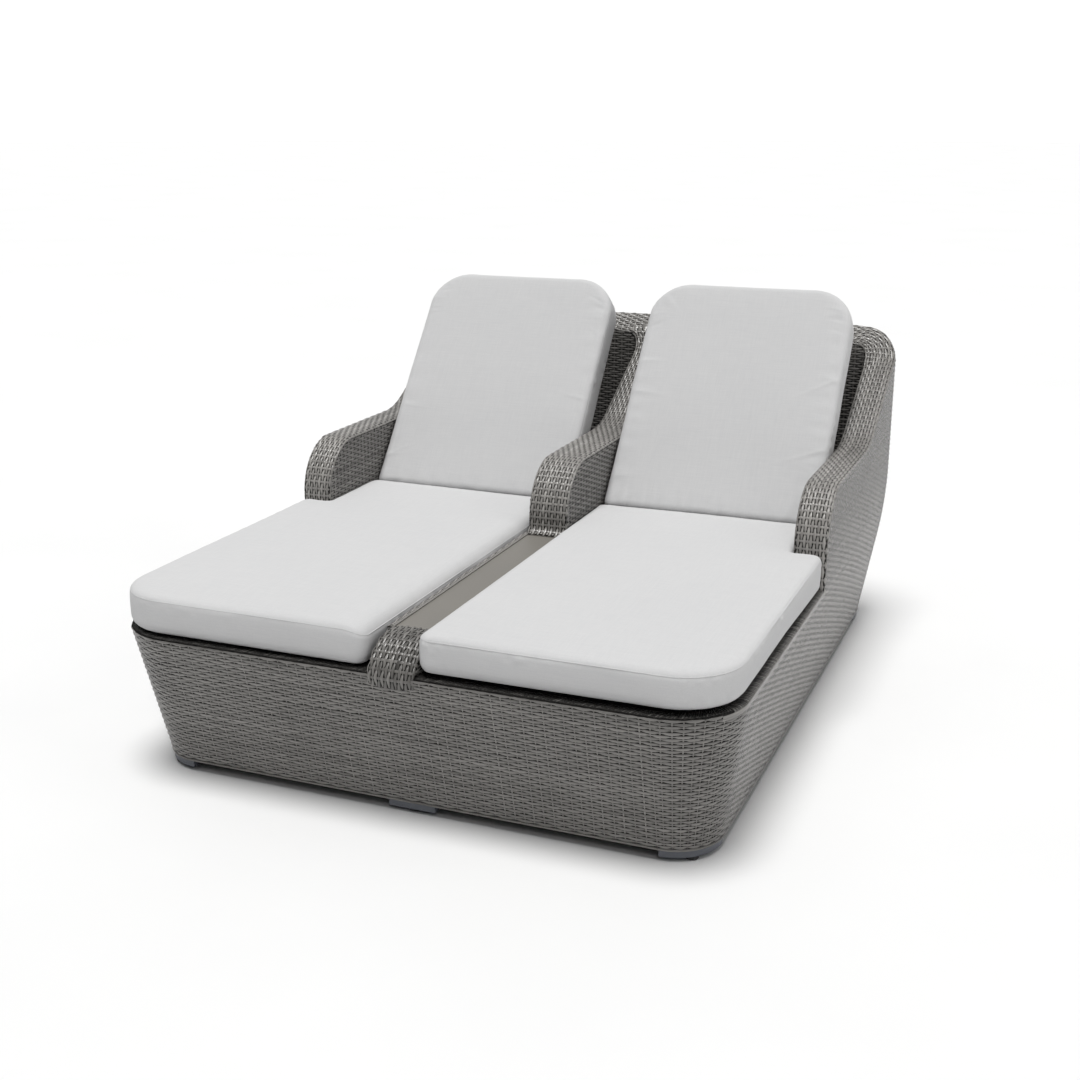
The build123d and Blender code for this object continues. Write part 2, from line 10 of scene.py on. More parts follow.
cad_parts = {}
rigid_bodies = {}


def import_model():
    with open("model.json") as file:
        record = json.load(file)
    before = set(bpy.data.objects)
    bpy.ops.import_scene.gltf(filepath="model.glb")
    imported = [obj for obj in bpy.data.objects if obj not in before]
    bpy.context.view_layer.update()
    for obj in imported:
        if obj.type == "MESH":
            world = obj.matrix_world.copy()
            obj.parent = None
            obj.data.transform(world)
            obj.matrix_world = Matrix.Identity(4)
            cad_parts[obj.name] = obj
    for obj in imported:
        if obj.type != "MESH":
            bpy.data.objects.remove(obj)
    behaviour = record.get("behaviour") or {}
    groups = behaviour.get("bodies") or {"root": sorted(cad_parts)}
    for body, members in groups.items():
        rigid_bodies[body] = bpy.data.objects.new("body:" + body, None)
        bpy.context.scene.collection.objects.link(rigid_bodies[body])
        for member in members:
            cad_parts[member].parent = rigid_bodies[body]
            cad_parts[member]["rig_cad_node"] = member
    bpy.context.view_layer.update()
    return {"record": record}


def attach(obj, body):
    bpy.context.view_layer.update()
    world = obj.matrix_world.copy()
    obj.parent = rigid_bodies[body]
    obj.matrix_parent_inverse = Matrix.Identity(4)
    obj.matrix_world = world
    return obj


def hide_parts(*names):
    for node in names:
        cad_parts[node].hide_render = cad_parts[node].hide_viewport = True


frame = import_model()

# Double chaise lounger. Metres; X across, +Y to the back, +Z up.
# The woven skins are laid strand by strand over the surfaces of the body, and
# each cushion is a sewn cover blown up over its foam.

# ------------------------------------------------------------------ materials


def node(nt, kind, at=(0, 0), **values):
    n = nt.nodes.new(kind)
    n.location = at
    for k, v in values.items():
        if hasattr(n, k) and k not in n.inputs:
            setattr(n, k, v)
        else:
            n.inputs[k].default_value = v
    return n


def material(name, rough=0.5):
    m = bpy.data.materials.new(name)
    m.use_nodes = True
    nt = m.node_tree
    b = nt.nodes["Principled BSDF"]
    b.inputs["Roughness"].default_value = rough
    return m, nt, b


def maths(nt, op, a, b=None, clamp=False):
    n = nt.nodes.new("ShaderNodeMath")
    n.operation = op
    n.use_clamp = clamp
    for i, v in enumerate((a, b)):
        if v is None:
            continue
        if isinstance(v, (int, float)):
            n.inputs[i].default_value = v
        else:
            nt.links.new(v, n.inputs[i])
    return n.outputs[0]


def scaled(nt, vec, xyz):
    n = nt.nodes.new("ShaderNodeVectorMath")
    n.operation = "MULTIPLY"
    nt.links.new(vec, n.inputs[0])
    n.inputs[1].default_value = xyz
    return n.outputs[0]


def noise(nt, vec, scale, detail=2.0, rough=0.5):
    n = nt.nodes.new("ShaderNodeTexNoise")
    n.inputs["Scale"].default_value = scale
    n.inputs["Detail"].default_value = detail
    n.inputs["Roughness"].default_value = rough
    nt.links.new(vec, n.inputs["Vector"])
    return n.outputs["Fac"]


def ramp(nt, fac, stops):
    n = nt.nodes.new("ShaderNodeValToRGB")
    e = n.color_ramp.elements
    while len(e) < len(stops):
        e.new(0.5)
    for k, (p, c) in zip(e, stops):
        k.position = p
        k.color = (*c, 1)
    nt.links.new(fac, n.inputs[0])
    return n.outputs[0]


def bump(nt, bsdf, height, strength, distance):
    n = nt.nodes.new("ShaderNodeBump")
    n.inputs["Strength"].default_value = strength
    n.inputs["Distance"].default_value = distance
    nt.links.new(height, n.inputs["Height"])
    nt.links.new(n.outputs[0], bsdf.inputs["Normal"])
    return n


def wicker_material():
    """Extruded plastic strand: warm grey, fine grooves along it, satin."""
    m, nt, b = material("woven_strand", 0.45)
    lay = node(nt, "ShaderNodeAttribute", attribute_name="lay").outputs["Vector"]
    # tint: each strand's own random tone, plus painted shade and painted light set per piece and by region; the ramp
    # runs down to near black for strands painted into shade
    tint = node(nt, "ShaderNodeAttribute", attribute_name="tint").outputs["Fac"]
    streak = noise(nt, scaled(nt, lay, (18, 1.7, 37)), 1.0, 3.0, 0.55)
    patch = noise(nt, scaled(nt, lay, (5, 0.0, 11)), 1.0, 1.0)
    f = maths(nt, "MULTIPLY", maths(nt, "SUBTRACT", streak, 0.5), 0.55)
    g = maths(nt, "MULTIPLY", maths(nt, "SUBTRACT", patch, 0.5), 0.5)
    f = maths(nt, "ADD", maths(nt, "ADD", f, g), tint, clamp=True)
    col = ramp(nt, f, [(0.0, (0.018, 0.017, 0.016)), (0.16, (0.119, 0.114, 0.107)), (0.45, (0.227, 0.218, 0.206)),
                       (0.75, (0.314, 0.302, 0.286)), (1.0, (0.44, 0.424, 0.401))])
    nt.links.new(col, b.inputs["Base Color"])
    groove = noise(nt, scaled(nt, lay, (7, 3.4, 91)), 1.0, 2.0, 0.6)
    bump(nt, b, groove, 0.35, 0.0006)
    r = maths(nt, "ADD", maths(nt, "MULTIPLY", streak, 0.20), 0.12)
    nt.links.new(r, b.inputs["Roughness"])
    b.inputs["Specular IOR Level"].default_value = 0.5
    return m


def painted_shade_backing_material():
    """Near-black sheet seen between the strands: painted shade standing in for the shadowed inside of the weave."""
    m, nt, b = material("weave_shadow_side", 0.85)
    lay = node(nt, "ShaderNodeAttribute", attribute_name="lay").outputs["Vector"]
    w = noise(nt, scaled(nt, lay, (40, 130, 1)), 1.0, 2.0)
    col = ramp(nt, w, [(0.3, (0.011, 0.0105, 0.010)), (0.8, (0.034, 0.032, 0.030))])
    nt.links.new(col, b.inputs["Base Color"])
    bump(nt, b, w, 0.4, 0.0008)
    b.inputs["Specular IOR Level"].default_value = 0.2
    return m


def shaded_flat_weave_material():
    """For flat woven panels that lie inside: the weave as relief and as colour, painted near black for shade and
    darkest between the strands as painted shade in the recesses.
    """
    m, nt, b = material("inner_woven_panel", 0.85)
    co = node(nt, "ShaderNodeTexCoord").outputs["Object"]
    sep = nt.nodes.new("ShaderNodeSeparateXYZ")
    nt.links.new(co, sep.inputs[0])
    sx = maths(nt, "SINE", maths(nt, "MULTIPLY", sep.outputs[0], 2 * math.pi / 0.048))
    sy = maths(nt, "SINE", maths(nt, "MULTIPLY", sep.outputs[1], 2 * math.pi / 0.0156))
    p = maths(nt, "MULTIPLY", sx, sy)
    rows = maths(nt, "ABSOLUTE", maths(nt, "SINE", maths(nt, "MULTIPLY", sep.outputs[1], math.pi / 0.0078)))
    h = maths(nt, "ADD", maths(nt, "MULTIPLY", p, 0.3), maths(nt, "MULTIPLY", rows, 0.7))
    n = noise(nt, co, 60, 3)
    f = maths(nt, "ADD", maths(nt, "MULTIPLY", h, 0.6), maths(nt, "MULTIPLY", n, 0.4), clamp=True)
    # painted shade: near-black colours, darker where the drawn relief is low
    col = ramp(nt, f, [(0.1, (0.007, 0.007, 0.006)), (0.5, (0.018, 0.017, 0.016)), (0.9, (0.045, 0.043, 0.040))])
    nt.links.new(col, b.inputs["Base Color"])
    bump(nt, b, h, 0.8, 0.002)
    b.inputs["Specular IOR Level"].default_value = 0.2
    return m


def painted_metal(name, light, dark, rough, speck=900.0, metallic=0.0):
    """Powder coat: fine orange peel, a little dust and wear."""
    m, nt, b = material(name, rough)
    co = node(nt, "ShaderNodeTexCoord").outputs["Object"]
    big = noise(nt, co, 5.0, 4.0, 0.55)
    fine = noise(nt, co, speck, 2.0, 0.6)
    f = maths(nt, "ADD", maths(nt, "MULTIPLY", big, 0.7), maths(nt, "MULTIPLY", fine, 0.3), clamp=True)
    col = ramp(nt, f, [(0.3, dark), (0.7, light)])
    nt.links.new(col, b.inputs["Base Color"])
    bump(nt, b, fine, 0.12, 0.0004)
    r = maths(nt, "ADD", maths(nt, "MULTIPLY", big, 0.16), rough - 0.08)
    nt.links.new(r, b.inputs["Roughness"])
    b.inputs["Metallic"].default_value = metallic
    return m


def steel_material():
    m, nt, b = material("prop_steel", 0.35)
    co = node(nt, "ShaderNodeTexCoord").outputs["Object"]
    draw = noise(nt, scaled(nt, co, (30, 900, 900)), 1.0, 3.0)
    big = noise(nt, co, 14.0, 3.0)
    f = maths(nt, "ADD", maths(nt, "MULTIPLY", draw, 0.5), maths(nt, "MULTIPLY", big, 0.5), clamp=True)
    col = ramp(nt, f, [(0.3, (0.36, 0.36, 0.355)), (0.7, (0.56, 0.56, 0.55))])
    nt.links.new(col, b.inputs["Base Color"])
    nt.links.new(maths(nt, "ADD", maths(nt, "MULTIPLY", draw, 0.2), 0.28), b.inputs["Roughness"])
    bump(nt, b, draw, 0.1, 0.0003)
    b.inputs["Metallic"].default_value = 1.0
    return m


def glide_material():
    m, nt, b = material("glide_plastic", 0.5)
    co = node(nt, "ShaderNodeTexCoord").outputs["Object"]
    n = noise(nt, co, 700.0, 3.0)
    scuff = noise(nt, scaled(nt, co, (90, 90, 500)), 1.0, 4.0, 0.65)
    f = maths(nt, "ADD", maths(nt, "MULTIPLY", n, 0.4), maths(nt, "MULTIPLY", scuff, 0.6), clamp=True)
    nt.links.new(ramp(nt, f, [(0.35, (0.010, 0.010, 0.011)), (0.8, (0.05, 0.05, 0.052))]), b.inputs["Base Color"])
    nt.links.new(maths(nt, "ADD", maths(nt, "MULTIPLY", scuff, 0.3), 0.35), b.inputs["Roughness"])
    bump(nt, b, n, 0.2, 0.0003)
    return m


def fabric_material():
    """Light grey outdoor cloth with slubs along both sets of threads."""
    m, nt, b = material("cushion_fabric", 0.9)
    co = node(nt, "ShaderNodeAttribute", attribute_name="cloth").outputs["Vector"]
    slub_a = noise(nt, scaled(nt, co, (14, 420, 420)), 1.0, 2.0, 0.6)
    slub_b = noise(nt, scaled(nt, co, (380, 16, 380)), 1.0, 2.0, 0.6)
    cloud = noise(nt, co, 3.2, 3.0)
    fine = noise(nt, co, 1100.0, 1.0)
    f = maths(nt, "MULTIPLY", slub_a, 0.36)
    f = maths(nt, "ADD", f, maths(nt, "MULTIPLY", slub_b, 0.30))
    f = maths(nt, "ADD", f, maths(nt, "MULTIPLY", cloud, 0.12))
    f = maths(nt, "ADD", f, maths(nt, "MULTIPLY", fine, 0.22), clamp=True)
    col = ramp(nt, f, [(0.30, (0.590, 0.592, 0.600)), (0.50, (0.634, 0.634, 0.638)), (0.72, (0.676, 0.675, 0.675))])
    nt.links.new(col, b.inputs["Base Color"])
    thread = maths(nt, "ADD", maths(nt, "MULTIPLY", slub_a, 0.5), maths(nt, "MULTIPLY", slub_b, 0.5))
    h = maths(nt, "ADD", maths(nt, "MULTIPLY", thread, 0.7), maths(nt, "MULTIPLY", fine, 0.3))
    bump(nt, b, h, 0.22, 0.0008)
    nt.links.new(maths(nt, "ADD", maths(nt, "MULTIPLY", thread, 0.2), 0.78), b.inputs["Roughness"])
    b.inputs["Sheen Weight"].default_value = 0.02
    b.inputs["Sheen Roughness"].default_value = 0.5
    b.inputs["Specular IOR Level"].default_value = 0.15
    return m


WICKER, PAINTED_SHADE_BACKING = wicker_material(), painted_shade_backing_material()
FABRIC = fabric_material()

# ------------------------------------------------------------ mesh collector


class Woven:
    """Gathers quads with the place on the strand, a shade and a flat layout."""

    def __init__(self):
        self.v, self.f, self.lay, self.tint, self.uv, self.mat = [], [], [], [], [], []
        self.n = 0

    def grid(self, P, lay, tint, uv, mat=0, flip=False, closed=False):
        a, b = P.shape[:2]
        i = np.arange(a * b).reshape(a, b) + self.n
        if closed:
            i = np.concatenate([i, i[:, :1]], 1)
        q = np.stack([i[:-1, :-1], i[1:, :-1], i[1:, 1:], i[:-1, 1:]], -1).reshape(-1, 4)
        if flip:
            q = q[:, ::-1]
        self.v.append(P.reshape(-1, 3))
        self.f.append(q)
        self.lay.append(np.broadcast_to(lay, P.shape).reshape(-1, 3))
        self.tint.append(np.broadcast_to(tint, (a, b)).reshape(-1))
        self.uv.append(np.broadcast_to(uv, (a, b, 2)).reshape(-1, 2))
        self.mat.append(np.full(len(q), mat, np.int32))
        self.n += a * b

    def build(self, name, body="base", replaces=()):
        v, f = np.concatenate(self.v), np.concatenate(self.f)
        me = bpy.data.meshes.new(name)
        me.vertices.add(len(v))
        me.vertices.foreach_set("co", v.astype(np.float32).ravel())
        me.loops.add(4 * len(f))
        me.loops.foreach_set("vertex_index", f.astype(np.int32).ravel())
        me.polygons.add(len(f))
        me.polygons.foreach_set("loop_start", np.arange(0, 4 * len(f), 4, dtype=np.int32))
        me.polygons.foreach_set("material_index", np.concatenate(self.mat))
        me.polygons.foreach_set("use_smooth", np.ones(len(f), bool))
        me.update(calc_edges=True)
        lay = me.attributes.new("lay", "FLOAT_VECTOR", "POINT")
        lay.data.foreach_set("vector", np.concatenate(self.lay).astype(np.float32).ravel())
        tint = me.attributes.new("tint", "FLOAT", "POINT")
        tint.data.foreach_set("value", np.concatenate(self.tint).astype(np.float32))
        uv = me.uv_layers.new(name="OFBake")
        flat = np.concatenate(self.uv).clip(0.002, 0.998)[f.ravel()]
        uv.uv.foreach_set("vector", flat.astype(np.float32).ravel())
        me.materials.append(WICKER)
        me.materials.append(PAINTED_SHADE_BACKING)
        me.validate()
        ob = bpy.data.objects.new(name, me)
        bpy.context.scene.collection.objects.link(ob)
        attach(ob, body)
        if replaces:
            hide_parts(*replaces)
        return ob


def unit(a):
    return a / np.maximum(np.linalg.norm(a, axis=-1, keepdims=True), 1e-12)


def normals(surf, u, v, e=2e-4):
    du = surf(u + e, v) - surf(u - e, v)
    dv = surf(u, v + e) - surf(u, v - e)
    return unit(np.cross(du, dv))


class Rect:
    """A part of the flat layout that one patch of weave takes."""

    def __init__(self, u0, v0, u1, v1):
        self.r = (u0, v0, u1, v1)

    def __call__(self, a, b):
        u0, v0, u1, v1 = self.r
        a, b = np.broadcast_arrays(a, b)
        return np.stack([u0 + (u1 - u0) * a, v0 + (v1 - v0) * b], -1)

    def part(self, a0, b0, a1, b1):
        u0, v0, u1, v1 = self.r
        return Rect(u0 + (u1 - u0) * a0, v0 + (v1 - v0) * b0, u0 + (u1 - u0) * a1, v0 + (v1 - v0) * b1)


ACROSS = {
    5: (np.array([-1.0, -0.62, 0.0, 0.62, 1.0]), np.array([-1.1, -0.30, 0.0, -0.30, -1.1])),
    4: (np.array([-1.0, -0.48, 0.48, 1.0]), np.array([-1.05, -0.08, -0.08, -1.05])),
    3: (np.array([-1.0, 0.0, 1.0]), np.array([-0.95, 0.0, -0.95])),
    2: (np.array([-1.0, 1.0]), np.array([-0.2, -0.2])),
}


def strands(M, surf, stakes, rows, span, reach, cell, seed, k=4, ks=3, w=0.00358, sw=0.0031,
            amp=0.00150, base=0.0014, crown=0.0012, first=0, shade=0.5, up=0.0008, j0=0, slack=1.0, stake_shade=0.02,
            narrow=0.40, vary=0.075, stake_low=0.0005, sharp=1.0,
            row_painted_shade=None, waist=None, along=None):
    """Plain weave. Rows run along u at v = rows[i] and pass over and under the
    stakes, which run along v at u = stakes[j]. span(v) and reach(u) give the
    stretches where a row or a stake lies."""
    rng = np.random.default_rng(seed)
    stakes, rows = np.asarray(stakes, float), np.asarray(rows, float)
    js, iis = np.arange(len(stakes)) + j0, np.arange(len(rows)) + first
    umin, umax, vmin, vmax = stakes[0], stakes[-1], rows[0], rows[-1]
    ulen, vlen = max(umax - umin, 1e-6), max(vmax - vmin, 1e-6)
    weft, warp = cell.part(0, 0, 1, 0.80), cell.part(0, 0.81, 1, 1)
    a, drop = ACROSS[k]
    for i, v in zip(iis, rows):
        # a row's tint: its random tone plus, where a caller gives it, painted shade by row height
        tint = shade + rng.normal(0, vary) + (row_painted_shade(v) if row_painted_shade else 0)
        ident = rng.random()
        wide = w * (1 + rng.normal(0, 0.02))
        for ua, ub in span(v):
            if ub - ua < 0.004:
                continue
            pa, pb = np.interp([ua, ub], stakes, js)
            q = np.arange(math.ceil(pa * 4 + 0.2), math.floor(pb * 4 - 0.2) + 1) / 4
            p = np.concatenate([[pa], q, [pb]])
            u = np.interp(p, js, stakes)
            u[0], u[-1] = ua, ub
            over = np.cos(np.pi * (p + i))
            under = (1 - over) / 2
            hw = wide * (1 - narrow * (waist(u) if waist else 1) * under ** sharp) * (1 + 0.02 * rng.normal(size=len(u)))
            wob = slack * (0.00030 * np.sin(u * 9.3 + ident * 40) + 0.00018 * np.sin(u * 31 + ident * 90)
                           + 0.00014 * rng.normal(size=len(u)))
            vv = v + up * under + wob
            V = vv[:, None] + hw[:, None] * a
            U = np.broadcast_to(u[:, None], V.shape)
            h = base + amp * over * (1 + 0.12 * rng.normal(size=len(u))) + 0.0001 * rng.normal(size=len(u))
            H = h[:, None] + crown * drop
            P = surf(U, V)
            P = P + normals(surf, U, V) * H[..., None]
            lay = np.stack([U, np.broadcast_to(a, U.shape), np.full(U.shape, ident * 10)], -1)
            M.grid(P, lay, tint + (along(u)[:, None] if along else 0), weft((U - umin) / ulen, (V - vmin) / vlen * 0.97 + 0.015))
    a, drop = ACROSS[ks]
    for j, u in zip(js, stakes):
        tint = shade + stake_shade + rng.normal(0, 0.05)
        ident = rng.random()
        for va, vb in reach(u):
            if vb - va < 0.004:
                continue
            pa, pb = np.interp([va, vb], rows, iis)
            pa += min(0, (va - rows[0])) / (rows[1] - rows[0]) if va < rows[0] else 0
            pb += max(0, (vb - rows[-1])) / (rows[1] - rows[0]) if vb > rows[-1] else 0
            q = np.arange(math.ceil(pa * 2 + 0.2), math.floor(pb * 2 - 0.2) + 1) / 2
            p = np.concatenate([[pa], q, [pb]])
            v = np.interp(p, iis, rows)
            v[0], v[-1] = va, vb
            over = -np.cos(np.pi * (p + j))
            under = (1 - over) / 2
            hw = sw * (1 - 0.1 * under)
            U = u + hw[:, None] * a
            V = np.broadcast_to(v[:, None], U.shape)
            h = base - stake_low + (amp - 0.0003) * over
            H = h[:, None] + 0.7 * crown * drop
            P = surf(U, V)
            P = P + normals(surf, U, V) * H[..., None]
            lay = np.stack([V, np.broadcast_to(a, U.shape), np.full(U.shape, ident * 10)], -1)
            x = (j - j0 + 0.5 + 0.46 * a) / (len(stakes))
            M.grid(P, lay, tint + (float(along(u)) if along else 0), warp(np.broadcast_to(x, U.shape), (V - vmin) / vlen * 0.94 + 0.03), flip=True)


def single(M, surf, us, v, w, h, cell, ident, tint, k=4, crown=0.0012, dip=0.0):
    """One smooth strand along u that isn't woven in."""
    a, drop = ACROSS[k]
    v = np.broadcast_to(v, us.shape)
    U = np.broadcast_to(us[:, None], (len(us), len(a)))
    V = v[:, None] + w * a
    H = np.broadcast_to(h, us.shape)[:, None] + crown * drop
    P = surf(U, V)
    P = P + normals(surf, U, V) * H[..., None]
    lay = np.stack([U, np.broadcast_to(a, U.shape), np.full(U.shape, ident)], -1)
    t = (us - us[0]) / max(us[-1] - us[0], 1e-6)
    M.grid(P, lay, tint, cell(t[:, None], (a + 1)[None, :] / 2))


def backing(M, surf, us, v0, v1, nv, cell, inner=0.0030, outer=-0.0004):
    """A closed thin sheet under the strands, from v0(u) to v1(u), in the near-black painted-shade material."""
    us = np.asarray(us, float)
    t = np.linspace(0, 1, nv)
    lo = np.array([v0(u) for u in us])
    hi = np.array([v1(u) for u in us])
    V = lo[:, None] + (hi - lo)[:, None] * t
    U = np.broadcast_to(us[:, None], V.shape)
    P, N = surf(U, V), normals(surf, U, V)
    lay = np.stack([U, V, np.zeros(U.shape)], -1)
    A, B = P + N * outer, P - N * inner
    s = (us - us[0]) / (us[-1] - us[0])
    uv = cell(np.broadcast_to(s[:, None], V.shape), np.broadcast_to(t, V.shape))
    n0 = M.n
    M.grid(A, lay, 0.1, uv, mat=1)
    n1 = M.n
    M.grid(B, lay, 0.1, uv, mat=1, flip=True)
    # close the four sides
    a, b = V.shape
    ia = np.arange(a * b).reshape(a, b)
    ring = np.concatenate([ia[:, 0], ia[-1, 1:], ia[::-1, -1][1:], ia[0, ::-1][1:]])
    x, y = ring[:-1], ring[1:]
    q = np.stack([x + n0, x + n1, y + n1, y + n0], -1)
    M.f.append(q)
    M.mat.append(np.full(len(q), 1, np.int32))


def cord(M, pts, r, cell, ident, tint, sides=8, squash=1.0, up=None, ends=True):
    """A round strand along a line of points."""
    pts = np.asarray(pts, float)
    T = unit(np.gradient(pts, axis=0))
    n = np.array(up if up is not None else (0.0, 0.0, 1.0))
    if abs(T[0] @ n) > 0.95:
        n = np.array((0.0, -1.0, 0.0))
    N = np.empty_like(T)
    for i, t in enumerate(T):
        n = n - t * (n @ t)
        n = n / np.linalg.norm(n)
        N[i] = n
    B = np.cross(T, N)
    ang = np.linspace(0, 2 * math.pi, sides, endpoint=False)
    R = np.full(len(pts), r)
    if ends:
        R[0] = R[-1] = r * 0.5
    P = pts[:, None] + R[:, None, None] * (np.cos(ang)[None, :, None] * N[:, None] + squash * np.sin(ang)[None, :, None] * B[:, None])
    s = np.concatenate([[0], np.cumsum(np.linalg.norm(np.diff(pts, axis=0), axis=1))])
    lay = np.stack(np.broadcast_arrays(s[:, None], np.sin(ang)[None, :], ident), -1)
    M.grid(P, lay, tint, cell((s / s[-1])[:, None], (ang / (2 * math.pi))[None, :]), closed=True, flip=True)
    if ends:
        start = M.n - len(pts) * sides
        for e, flip in ((0, False), (len(pts) - 1, True)):
            ring = np.arange(sides) + start + e * sides
            c = M.n
            M.v.append(pts[e][None])
            M.lay.append(np.array([[s[e], 0, ident]]))
            M.tint.append(np.array([tint]))
            M.uv.append(cell(np.array([s[e] / s[-1]]), np.array([0.5])))
            M.n += 1
            # pairs of triangles as quads keep the mesh all quads
            q = np.array([[c, ring[i], ring[(i + 1) % sides], ring[(i + 2) % sides]] for i in range(0, sides, 2)])
            if flip:
                q = q[:, ::-1]
            M.f.append(q)
            M.mat.append(np.zeros(len(q), np.int32))


# ------------------------------------------------------------ body surfaces
HX, Y0, Y1, RF, RR = 0.775, -0.992, 0.992, 0.170, 0.070
SK, RIM = 0.029, 0.378
ARM_IN, MID, ARM_Y, ARM_Z, NOSE_R = 0.690, 0.055, -0.040, 0.636, 0.150
BACK_Y, BACK_Z, TOP_Z = 0.914, 0.872, 0.922
SEG = np.array([HX - RF, math.pi / 2 * RF, (Y1 - RR) - (Y0 + RF), math.pi / 2 * RR, 2 * (HX - RR),
                math.pi / 2 * RR, (Y1 - RR) - (Y0 + RF), math.pi / 2 * RF, HX - RF])
CUM = np.concatenate([[0], np.cumsum(SEG)])
ROUND = CUM[-1]


U_EASE = CUM[2] + 0.70


def outline(u, z, ins):
    """Plan outline of the body at height z, u along the rim from the middle of
    the foot end towards +X and round."""
    u = np.mod(u, ROUND)
    t = (z - SK) / (RIM - SK)
    back = np.clip((np.minimum(u, ROUND - u) - U_EASE) / 0.35, 0, 1)
    k = 0.02 + 0.30 * back * back * (3 - 2 * back)
    f = np.where(t > 1 + k, 1.0, np.where(t < 1 - k, t, t - (t - 1 + k) ** 2 / (4 * k)))
    f = np.maximum(f, 0)
    hx = HX - 0.056 * (1 - f) - ins
    y0 = Y0 + 0.090 * (1 - f) + ins
    y1 = Y1 - 0.087 * (1 - f) - ins
    rf = 0.116 + 0.054 * f - ins
    rr = 0.055 + 0.015 * f - ins
    s = np.clip(np.searchsorted(CUM, u, side="right") - 1, 0, 8)
    t = (u - CUM[s]) / SEG[s]
    q = t * math.pi / 2
    pick = [s == k for k in range(9)]
    x = np.select(pick, [
        t * (hx - rf), hx - rf + rf * np.sin(q), hx, hx - rr + rr * np.cos(q), (hx - rr) * (1 - 2 * t),
        -(hx - rr) - rr * np.sin(q), -hx, -(hx - rf) - rf * np.cos(q), -(hx - rf) * (1 - t)])
    y = np.select(pick, [
        y0, y0 + rf - rf * np.cos(q), y0 + rf + t * ((y1 - rr) - (y0 + rf)), y1 - rr + rr * np.sin(q), y1,
        y1 - rr + rr * np.cos(q), y1 - rr - t * ((y1 - rr) - (y0 + rf)), y0 + rf - rf * np.sin(q), y0])
    return x, y


def wall(u, v):
    """Upright outer wall; v is the height above the lower edge."""
    u, v = np.broadcast_arrays(u, v)
    z = SK + v
    x, y = outline(u, z, 0.0)
    return np.stack([x, y, z], -1)


RIM_R = 0.005
RV1 = RIM - SK - RIM_R
RV2 = RV1 + RIM_R * math.pi / 2


def wall_rim(u, v):
    """The same wall, rolled over the rim and on along the ledge."""
    u, v = np.broadcast_arrays(u, v)
    q = np.clip((v - RV1) / RIM_R, 0, math.pi / 2)
    z = SK + np.minimum(v, RV1) + RIM_R * np.sin(q)
    ins = RIM_R * (1 - np.cos(q)) + np.maximum(v - RV2, 0)
    x, y = outline(u, z, ins)
    return np.stack([x, y, z], -1)


def chaikin(pts, times):
    pts = np.asarray(pts, float)
    for _ in range(times):
        a, b = pts[:-1], pts[1:]
        q = np.stack([0.75 * a + 0.25 * b, 0.25 * a + 0.75 * b], 1).reshape(-1, pts.shape[1])
        pts = np.concatenate([pts[:1], q[1:-1], pts[-1:]])
    return pts


# side view of an arm from its foot to the wing, as (y, z)
def arm_line(z0):
    pts = [(ARM_Y, z) for z in np.linspace(z0, 0.486, 8)[:-1]]
    pts += [(ARM_Y + NOSE_R - NOSE_R * math.cos(a), 0.486 + NOSE_R * math.sin(a))
            for a in np.linspace(0, math.pi / 2, 24)]
    th = math.atan(0.5405)
    pts += [(y, ARM_Z) for y in np.linspace(0.110, 0.4789, 16)[1:-1]]
    pts += [(0.4789 + 0.237 * math.sin(a), ARM_Z + 0.237 * (1 - math.cos(a))) for a in np.linspace(0, th, 12)]
    y1, z1 = pts[-1]
    pts += [(y, z1 + 0.5405 * (y - y1)) for y in np.linspace(y1, 0.822, 12)[1:]]
    return np.array(pts)


ARM = arm_line(0.366)
mm = 0.001
CORNER = np.array([
    # inner edge              outer edge
    (690, 822, 789.1, 775, 822, 789.1),
    (690, 838, 797.7, 775, 838, 797.7),
    (690, 856, 807.6, 775, 862, 810.5),
    (690, 878, 823.5, 775, 892, 820.5),
    (690, 900, 849, 773.9, 936, 833),
    (680, 913.5, 869, 754.5, 971.5, 879),
    (656, 914, 877, 717, 991, 911),
    (626, 914, 880, 668, 992, 921),
    (590, 914, 881.5, 612, 992, 922),
    (560, 914, 882, 566, 992, 922),
    (540, 914, 882, 540, 992, 922),
]) * mm
corner = chaikin(CORNER, 3)
half = [np.column_stack([np.full(len(ARM), ARM_IN), ARM, np.full(len(ARM), HX), ARM]), corner[1:]]
mid = np.array([(x, BACK_Y, BACK_Z + 0.010 * min(max((x - 0.09) / 0.08, 0), 1), x, Y1, TOP_Z)
                for x in np.linspace(0.54, 0.0, 37)[1:]])
half.append(mid)
half = np.concatenate(half)
mirror = half[::-1][1:] * np.array([-1, 1, 1, -1, 1, 1])
EDGES = np.concatenate([half, mirror])


